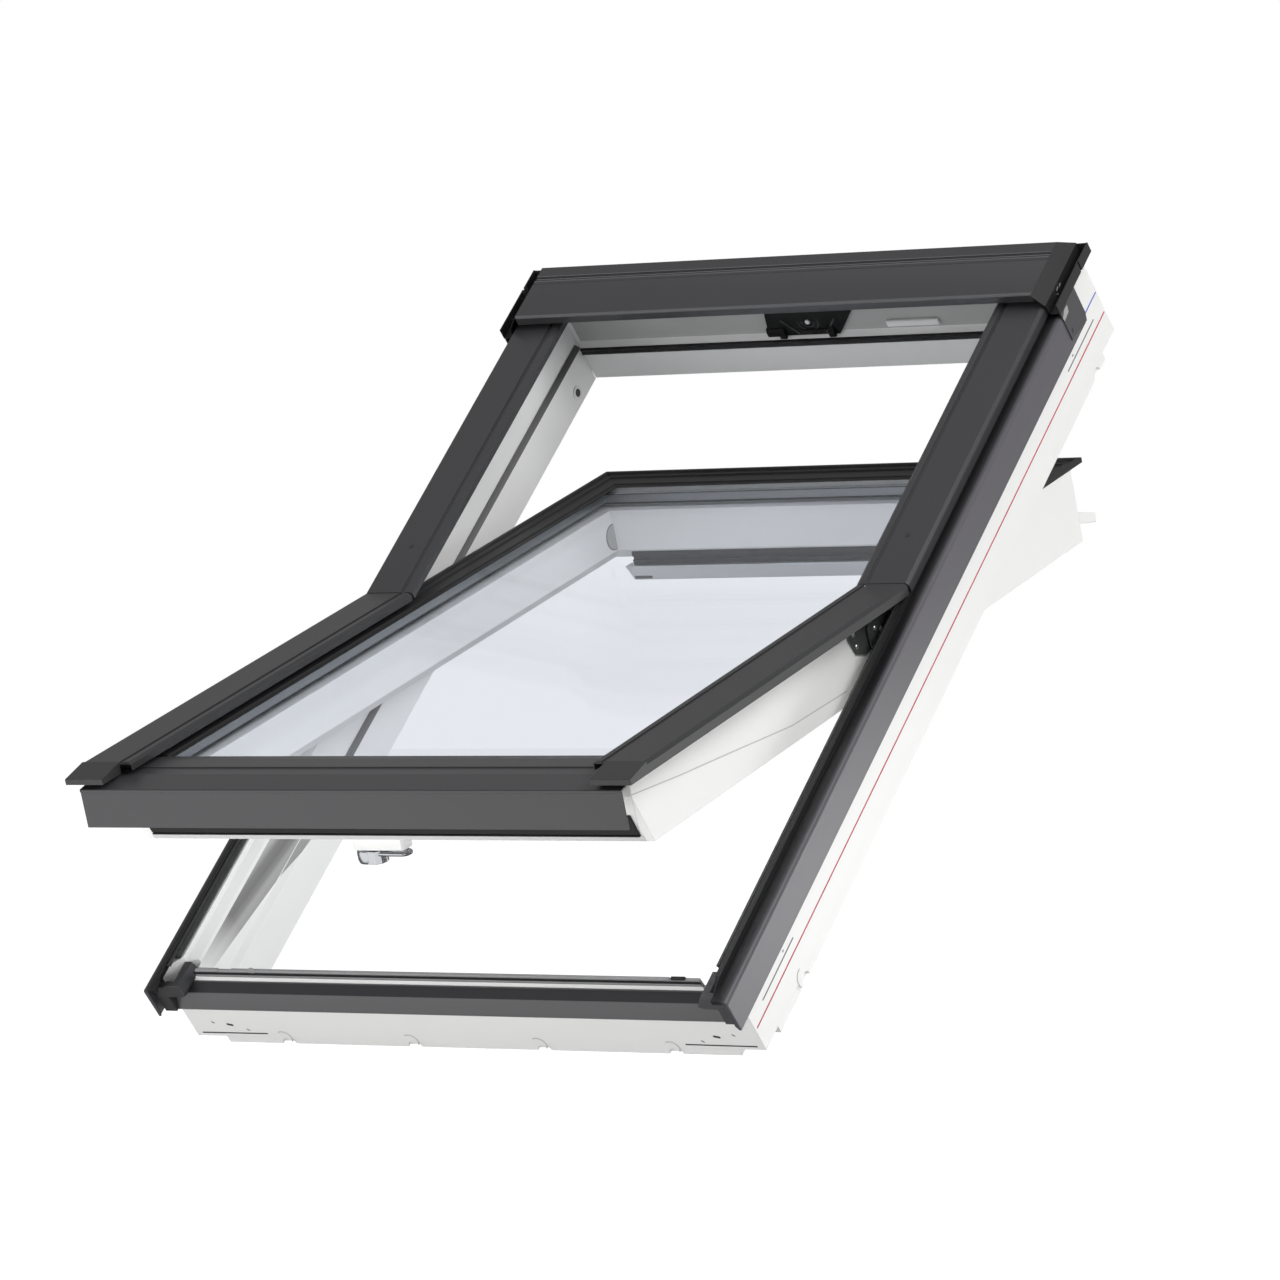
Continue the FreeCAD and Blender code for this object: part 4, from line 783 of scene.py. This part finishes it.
class ROOFWINDOW_OT_fittings(bpy.types.Operator):
    """Hinge plates with their rivets, striker, control bar, bushings and handle"""

    bl_idname = "roofwindow.fittings"
    bl_label = "Finish the fittings"

    def execute(self, context):
        look = context.scene.roof_window_finish
        for slot, kind in (("hinge_metal", "Hinge zinc"), ("satin_metal", "Satin metal"), ("chrome", "Chrome")):
            dress(slot, finish(kind), look.edge_radius)
        self.rivets()
        self.cap_screws()
        self.handle()
        self.striker()
        self.restrictor()
        self.sash_discs()
        self.bushing_bore_shades()
        return {"FINISHED"}

    def handle(self):
        """The chrome handle: a rounded boss, a stepped shoulder and a loop lever."""
        mesh = bmesh.new()
        boss = [(10.6, 0), (12.3, 1.6), (12.5, 5), (12.5, 12.5), (11.2, 16.4), (7.6, 18)]
        turned(mesh, "z", 5, (-53.5, 65), boss, -1, 40)
        shoulder = [(-50, 54.6), (-38, 54.0), (-31, 58), (-29, 65), (-31, 72), (-38, 76), (-50, 75.4)]
        plate(mesh, "z", 3.6, shoulder, -15.6)
        bend, height, thickness = 6.2, -0.6, 2.9
        route = []
        for middle, first in (((-2.6, 65), -math.pi / 2), ((-34, 65), math.pi / 2)):
            for step in range(9):
                angle = first + math.pi * step / 8
                route.append((middle[0] + bend * math.cos(angle), middle[1] + bend * math.sin(angle), height))
        tube(mesh, route, thickness)
        piece = finish_mesh("handle_grip", mesh, finish("Chrome"), SASH)
        smooth_by_angle(piece, 30)
        soften(piece, 0.0008)
        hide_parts("handle")

    def striker(self):
        """The striker under the hood: a plate with a slanted end, a foot, two hooks and a screwed boss."""
        outline = [(-56, 90), (74.5, 90), (37, 44.6), (-63, 44.6), (-66, 48), (-57, 87)]
        hook = [(1147, 59), (1139.5, 59), (1135.5, 50), (1136, 43.5), (1139, 42.6), (1141.5, 46.4), (1147, 50)]
        foot = [(1147, 58), (1140, 58), (1137.6, 53), (1138, 46), (1147, 46)]
        ledge = [(-20, 1141.2), (-12, 1139), (22, 1139), (30, 1141.2)]
        piece = plates("striker_body", "black_plastic", finish("Striker plastic"), FRAME,
                       ("y", TOP_FACE, outline, STRIKER_FACE - TOP_FACE), ("x", -47.5, hook, 9),
                       ("x", 23.5, hook, 9), ("x", -65.6, foot, 21), ("z", 52, ledge, 3), edge=0.0008)
        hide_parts("lock_striker")
        boss = (-1, 67)
        ribs = []
        for radius, width in ((8.5, 1.4), (14.5, 1.6)):
            for start, end in arc_steps(boss, radius, 175, 365, 16):
                ribs.append(("y", STRIKER_FACE, line_outline(start, end, width), -0.8))
        for side in (-1, 1):
            ribs.append(("y", STRIKER_FACE, line_outline((38 * side, 70), (20 * side, 49), 2.4), -1.2))
        plates("striker_ribs", "black_plastic", finish("Side seal"), FRAME, *ribs)
        turnings("striker_screw", "hinge_metal", finish("Bare metal"), FRAME,
                 ("y", STRIKER_FACE, boss, [(3.6, 0), (3.6, 1.2), (2.8, 2.0), (1.4, 2.0), (1.2, 1.0)], -1))

    def restrictor(self):
        """The rounded white bar beside the striker."""
        section = [(1147, 50), (1143.6, 50), (1142, 51.6), (1142, 58), (1143.6, 60), (1147, 60)]
        piece = plates("restrictor_cover", "satin_metal", finish("White lacquer"), FRAME,
                       ("x", 107, section, 74), edge=0.0015)
        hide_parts("restrictor_bar")

    def sash_discs(self):
        """The cover discs on the inner sides of the sash, and painted shade where the control bar's slot is."""
        for name, side in SIDES:
            turnings(f"sash_disc_{name}", "white_lacquer", finish("Shoulder strip"), SASH,
                     ("x", SASH_INNER * side, DISC, [(17, 0), (17, 0.4), (15.8, 0.4), (15.6, 0.2)], -side, 40),
                     smooth=False)
            turnings(f"sash_disc_face_{name}", "white_lacquer", finish("Grey lacquer and painted shade"), SASH,
                     ("x", (SASH_INNER - 0.3) * side, DISC, [(15.6, 0), (15.6, 0.4), (15, 0.8)], -side, 40),
                     smooth=False)
        # A grey plate paints the shade of the control bar's slot.
        plates("control_bar_slot_shade", "satin_metal", finish("Shoulder strip"), SASH,
               ("y", 1044.5, [(-280, -3.6), (-254, -3.6), (-254, 0.2), (-280, 0.2)], -0.1))

    def bushing_bore_shades(self):
        """A dark disc of painted shade for the bore in each bolt bushing."""
        bushings = node_mesh("bolt_bushings", FRAME)
        level = min(abs(vert.co.x / MM) for vert in bushings.verts)
        bushings.free()
        for name, side in SIDES:
            turnings(f"bushing_bore_shade_{name}", "satin_metal", finish("Black plastic"), FRAME,
                     ("x", level * side, BUSHING, [(5.4, 0), (5.2, 0.3), (4.6, 0.4)], -side), smooth=False)

    def rivets(self):
        """Round rivet heads on the visible faces of the hinge plates."""
        head = [(3.2, 0), (3.2, 0.5), (2.6, 1.0), (1.4, 1.3)]
        for name, side in SIDES:
            for plate_name, matrix, level, centres in (
                    ("sash_plate", SASH, 347.5, ((523.6, 95.4), (527.2, 79.5))),
                    ("frame_plate", FRAME, 351.5, ((553.6, 110), (562, 100)))):
                turnings(f"{plate_name}_rivets_{name}", "hinge_metal", finish("Bare metal"), matrix,
                         *(("x", level * side, centre, head, side) for centre in centres))

    def cap_screws(self):
        """Screws with a drive recess in the dish of each hood end cap, with two small hooks and a dot."""
        head = [(2.6, 0), (2.6, 0.8), (2.2, 1.4), (1.1, 1.5), (0.9, 0.7)]
        for name, side in SIDES:
            mesh = bmesh.new()
            for along in (1112, 1150):
                turned(mesh, "z", CAP_FLOOR, (392 * side, along), head)
            for along, height in ((1108, 126.5), (1116, 125.5)):
                hook = [(along, height), (along + 5.5, height + 1.6), (along + 5.5, height + 2.8),
                        (along, height + 1.4)]
                plate(mesh, "x", CAP_WALL * side, hook, 0.8 * side)
            turned(mesh, "x", CAP_WALL * side, (1107, 123), [(1.3, 0), (1.3, 0.8), (0.7, 1.1)], side, 10)
            piece = finish_mesh(f"cap_screws_{name}", mesh, finish("Bare metal"), FRAME)
            smooth_by_angle(piece)


class ROOFWINDOW_OT_marks(bpy.types.Operator):
    """Installer's lines, painted shade of the frame's slots, holes and recesses, cover pins and the line along
    the sash
    """

    bl_idname = "roofwindow.marks"
    bl_label = "Draw the marks"

    def execute(self, context):
        look = context.scene.roof_window_marks
        self.paints = {}
        for name in ("pale", "red", "blue", "grey", "faint", "slot"):
            self.paints[name] = coated_material(f"Mark {name}", getattr(look, name), 0.6, 0.0008, 0.00001,
                                                tone=0.2)
        self.width = look.line_width / MM
        self.rise = look.line_rise / MM
        for name, side in SIDES:
            self.side_lines(name, side)
            self.front_slots(name, side)
            self.cover_pins(name, side)
            self.sash_line(name, side)
            self.clip_marks(name, side)
        return {"FINISHED"}

    def lines(self, piece, paint, axis, level, rise, matrix, items):
        """One piece of several thin lines; each item has a start, an end and a width."""
        plates(piece, "white_lacquer", self.paints[paint], matrix,
               *((axis, level, line_outline(*item), rise) for item in items))

    def side_lines(self, name, side):
        """The red, blue and scored grey lines along the outer side of the frame."""
        level, rise, width = SIDE_FACE * side, self.rise * side, self.width
        for piece, paint, items in (
                ("batten_line", "red", [((5, 32), (1174, 32), width)]),
                ("head_line", "blue", [((1138, 63.4), (1175, 63.4), width)]),
                ("score_lines", "grey",
                 [((35, 44.6), (128, 44.9), width), ((1056, 44), (1147, 44.1), width),
                  ((102, 50.6), (104, 50.6), width), ((1077, 49.5), (1079, 49.5), width)])):
            self.lines(f"{piece}_{name}", paint, "x", level, rise, FRAME, items)

    def front_slots(self, name, side):
        """Painted shade: dark lines for the slots, and arcs along the recesses' edges, on the front of the
        bottom member and the side of the frame.
        """
        items = [((287.5 * side, 6.2), (380 * side, 5.6), 2.0),
                 ((334 * side - 3, 21), (334 * side + 3, 19.6), 3.4),
                 ((312 * side - 1, 13), (312 * side + 1.4, 11), 1.6),
                 ((357 * side - 1, 24.6), (357 * side + 1.4, 22.6), 1.6)]
        self.lines(f"front_slots_{name}", "slot", "y", 0, -self.rise, FRAME, items)
        arcs = self.arc((266 * side, 0), 10, -40, 115) + self.arc((88 * side, 0), 10, -40, 115)
        self.lines(f"front_recesses_{name}", "faint", "y", 0, -self.rise, FRAME, arcs)
        arcs = self.arc((110.5, -1), 11.5, 80, 215)
        self.lines(f"side_recess_{name}", "faint", "x", SIDE_FACE * side, self.rise * side, FRAME, arcs)

    def arc(self, centre, radius, first, last):
        """Short lines along an arc, from one angle to another in degrees."""
        return [(start, end, 1.6) for start, end in arc_steps(centre, radius, first, last, 8)]

    def cover_pins(self, name, side):
        """The small pin in each lower cover near its upper end."""
        head = [(3.4, 0), (3.4, 0.3), (2.8, 0.5), (1.6, 0.5), (1.2, 0.2)]
        turnings(f"cover_pin_{name}", "black_plastic", self.paints["slot"], FRAME,
                 ("z", COVER_TOP, (350 * side, 687), head))

    def sash_line(self, name, side):
        """The long curved line on the outer side of the sash."""
        route = ((10, 86.7), (120, 71.5), (233, 58), (362.6, 42), (491, 38))
        items = [(start, end, 1.4) for start, end in zip(route, route[1:])]
        self.lines(f"sash_line_{name}", "faint", "x", SASH_SIDE * side, self.rise * side, SASH, items)

    def clip_marks(self, name, side):
        """The pale window, and a dark spot of painted shade for the small hole, in the raised strip of a clip
        plate.
        """
        level, rise = CLIP_FACE * side, 0.04 * side
        window = [(1078, 109), (1079, 104), (1094.5, 105.5), (1097.5, 114), (1089, 115)]
        plates(f"clip_window_{name}", "grey_cladding", self.paints["pale"], FRAME, ("x", level, window, rise))
        self.lines(f"clip_hole_shade_{name}", "slot", "x", level, rise, FRAME, [((1085, 82), (1086.6, 84), 3.6)])


def area_lamp(name, size, energy, place, aim):
    """A soft rectangular lamp that looks at a point. The one overhead stays out of reflections."""
    data = bpy.data.lights.new(name, "AREA")
    data.shape = "RECTANGLE"
    data.size, data.size_y = size
    data.energy = energy
    lamp = bpy.data.objects.new(name, data)
    lamp.location = place
    lamp.rotation_euler = (Vector(aim) - Vector(place)).to_track_quat("-Z", "Y").to_euler()
    lamp.visible_camera = False
    lamp.visible_transmission = False
    lamp.visible_glossy = name != "Ceiling"
    bpy.context.scene.collection.objects.link(lamp)


class ROOFWINDOW_OT_stage(bpy.types.Operator):
    """Pale floor, soft light, white surroundings and the camera"""

    bl_idname = "roofwindow.stage"
    bl_label = "Set the stage"

    def execute(self, context):
        look = context.scene.roof_window_stage
        self.surroundings(look)
        self.floor(look)
        middle = (Vector(cad_bounds[0]) + Vector(cad_bounds[1])) / 2
        ground = cad_bounds[0][2] - look.floor_drop
        before = Vector((-0.55, -1.0, ground))
        lamps = (("Key", (2.4, 2.0), look.key_power, middle + Vector((3.3, -0.8, 2.3)), middle),
                 ("Floor glow", (1.9, 1.3), look.front_power, before + Vector((0, 0, 0.01)),
                  before + Vector((0, 0, 1))),
                 ("Strip", (2.0, 0.6), look.strip_power, middle + Vector((-1.7, -2.6, -0.5)), middle),
                 ("Ceiling", (3.0, 3.0), look.ceiling_power, middle + Vector((0, -0.6, 2.6)), middle),
                 ("Side", (0.8, 0.5), look.rim_power, Vector((1.7, 2.2, 0.05)), Vector((0.4, 0.2, 0.1))))
        for lamp in lamps:
            area_lamp(*lamp)
        self.camera(look)
        return {"FINISHED"}

    def surroundings(self, look):
        """White for the camera and through glass; a light that fades from the horizon to overhead."""
        world = bpy.data.worlds.new("Studio")
        bpy.context.scene.world = world
        world.use_nodes = True
        tree = world.node_tree
        tree.nodes.clear()
        where = add(tree, "TexCoord")
        split = add(tree, "SeparateXYZ", {0: where.outputs["Generated"]})
        fade = add(tree, "MapRange", {"Value": split.outputs["Z"], "From Min": -0.05, "From Max": 0.6,
                                      "To Min": look.horizon, "To Max": look.overhead},
                   interpolation_type="SMOOTHSTEP")
        lighting = add(tree, "Background", {"Color": (1, 1, 1, 1), "Strength": fade.outputs[0]})
        white = add(tree, "Background", {"Color": (1, 1, 1, 1), "Strength": 1})
        path = add(tree, "LightPath")
        seen = math_node(tree, "MAXIMUM", path.outputs["Is Camera Ray"], path.outputs["Is Transmission Ray"])
        glossy = math_node(tree, "MULTIPLY", path.outputs["Is Glossy Ray"], look.glossy_white)
        mask = math_node(tree, "MAXIMUM", seen, glossy)
        mix = add(tree, "MixShader", {0: mask, 1: lighting.outputs[0], 2: white.outputs[0]})
        add(tree, "OutputWorld", {"Surface": mix.outputs[0]})

    def floor(self, look):
        """A wide pale floor under the window that keeps its shadow."""
        half, height = 40.0, cad_bounds[0][2] - look.floor_drop
        mesh = bpy.data.meshes.new("floor")
        corners = [(x * half, y * half, height) for x, y in ((-1, -1), (1, -1), (1, 1), (-1, 1))]
        mesh.from_pydata(corners, [], [(0, 1, 2, 3)])
        floor = bpy.data.objects.new("floor", mesh)
        bpy.context.scene.collection.objects.link(floor)
        material, tree, shader, _ = new_material("Floor")
        path = add(tree, "LightPath")
        seen = math_node(tree, "MAXIMUM", path.outputs["Is Camera Ray"], path.outputs["Is Transmission Ray"])
        drop = look.floor_colour - look.floor_mirrored
        dim = math_node(tree, "MULTIPLY", path.outputs["Is Glossy Ray"], drop)
        feed(tree, shader, {"Base Color": math_node(tree, "SUBTRACT", look.floor_colour, dim), "Roughness": 1,
                            "Specular IOR Level": 0, "Emission Color": (1, 1, 1, 1),
                            "Emission Strength": math_node(tree, "MULTIPLY", seen, look.floor_glow)})
        mesh.materials.append(material)

    def camera(self, look):
        """The camera at the photograph's viewing angle."""
        data = bpy.data.cameras.new("Camera")
        data.sensor_fit = "HORIZONTAL"
        data.sensor_width = 36
        data.lens = look.lens
        data.clip_end = 200
        camera = bpy.data.objects.new("Camera", data)
        camera.location = CAMERA_PLACE
        camera.rotation_euler = Euler([math.radians(turn) for turn in CAMERA_TURNS])
        bpy.context.scene.collection.objects.link(camera)
        bpy.context.scene.camera = camera


OPERATORS = (
    ROOFWINDOW_OT_stage,
    ROOFWINDOW_OT_lacquer,
    ROOFWINDOW_OT_cladding,
    ROOFWINDOW_OT_seals,
    ROOFWINDOW_OT_glazing,
    ROOFWINDOW_OT_fittings,
    ROOFWINDOW_OT_marks,
)


class ROOFWINDOW_PT_panel(bpy.types.Panel):
    """The window's operators in order"""

    bl_idname = "ROOFWINDOW_PT_panel"
    bl_label = "Roof Window"
    bl_space_type = "VIEW_3D"
    bl_region_type = "UI"
    bl_category = "Roof Window"

    def draw(self, context):
        for operator in OPERATORS:
            self.layout.operator(operator.bl_idname)


SETTINGS = {
    "roof_window_finish": FinishSettings,
    "roof_window_marks": MarkSettings,
    "roof_window_stage": StageSettings,
}


def register():
    """Registers the settings, the operators and the panel."""
    for name, settings in SETTINGS.items():
        bpy.utils.register_class(settings)
        setattr(bpy.types.Scene, name, PointerProperty(type=settings))
    for operator in (*OPERATORS, ROOFWINDOW_PT_panel):
        bpy.utils.register_class(operator)


def unregister():
    """Removes what register added."""
    for operator in reversed((*OPERATORS, ROOFWINDOW_PT_panel)):
        bpy.utils.unregister_class(operator)
    for name, settings in SETTINGS.items():
        delattr(bpy.types.Scene, name)
        bpy.utils.unregister_class(settings)


def main():
    """Builds the whole scene in order."""
    register()
    bpy.context.scene.view_settings.view_transform = "Standard"
    for operator in OPERATORS:
        group, name = operator.bl_idname.split(".")
        getattr(getattr(bpy.ops, group), name)()


if __name__ == "__main__":
    main()
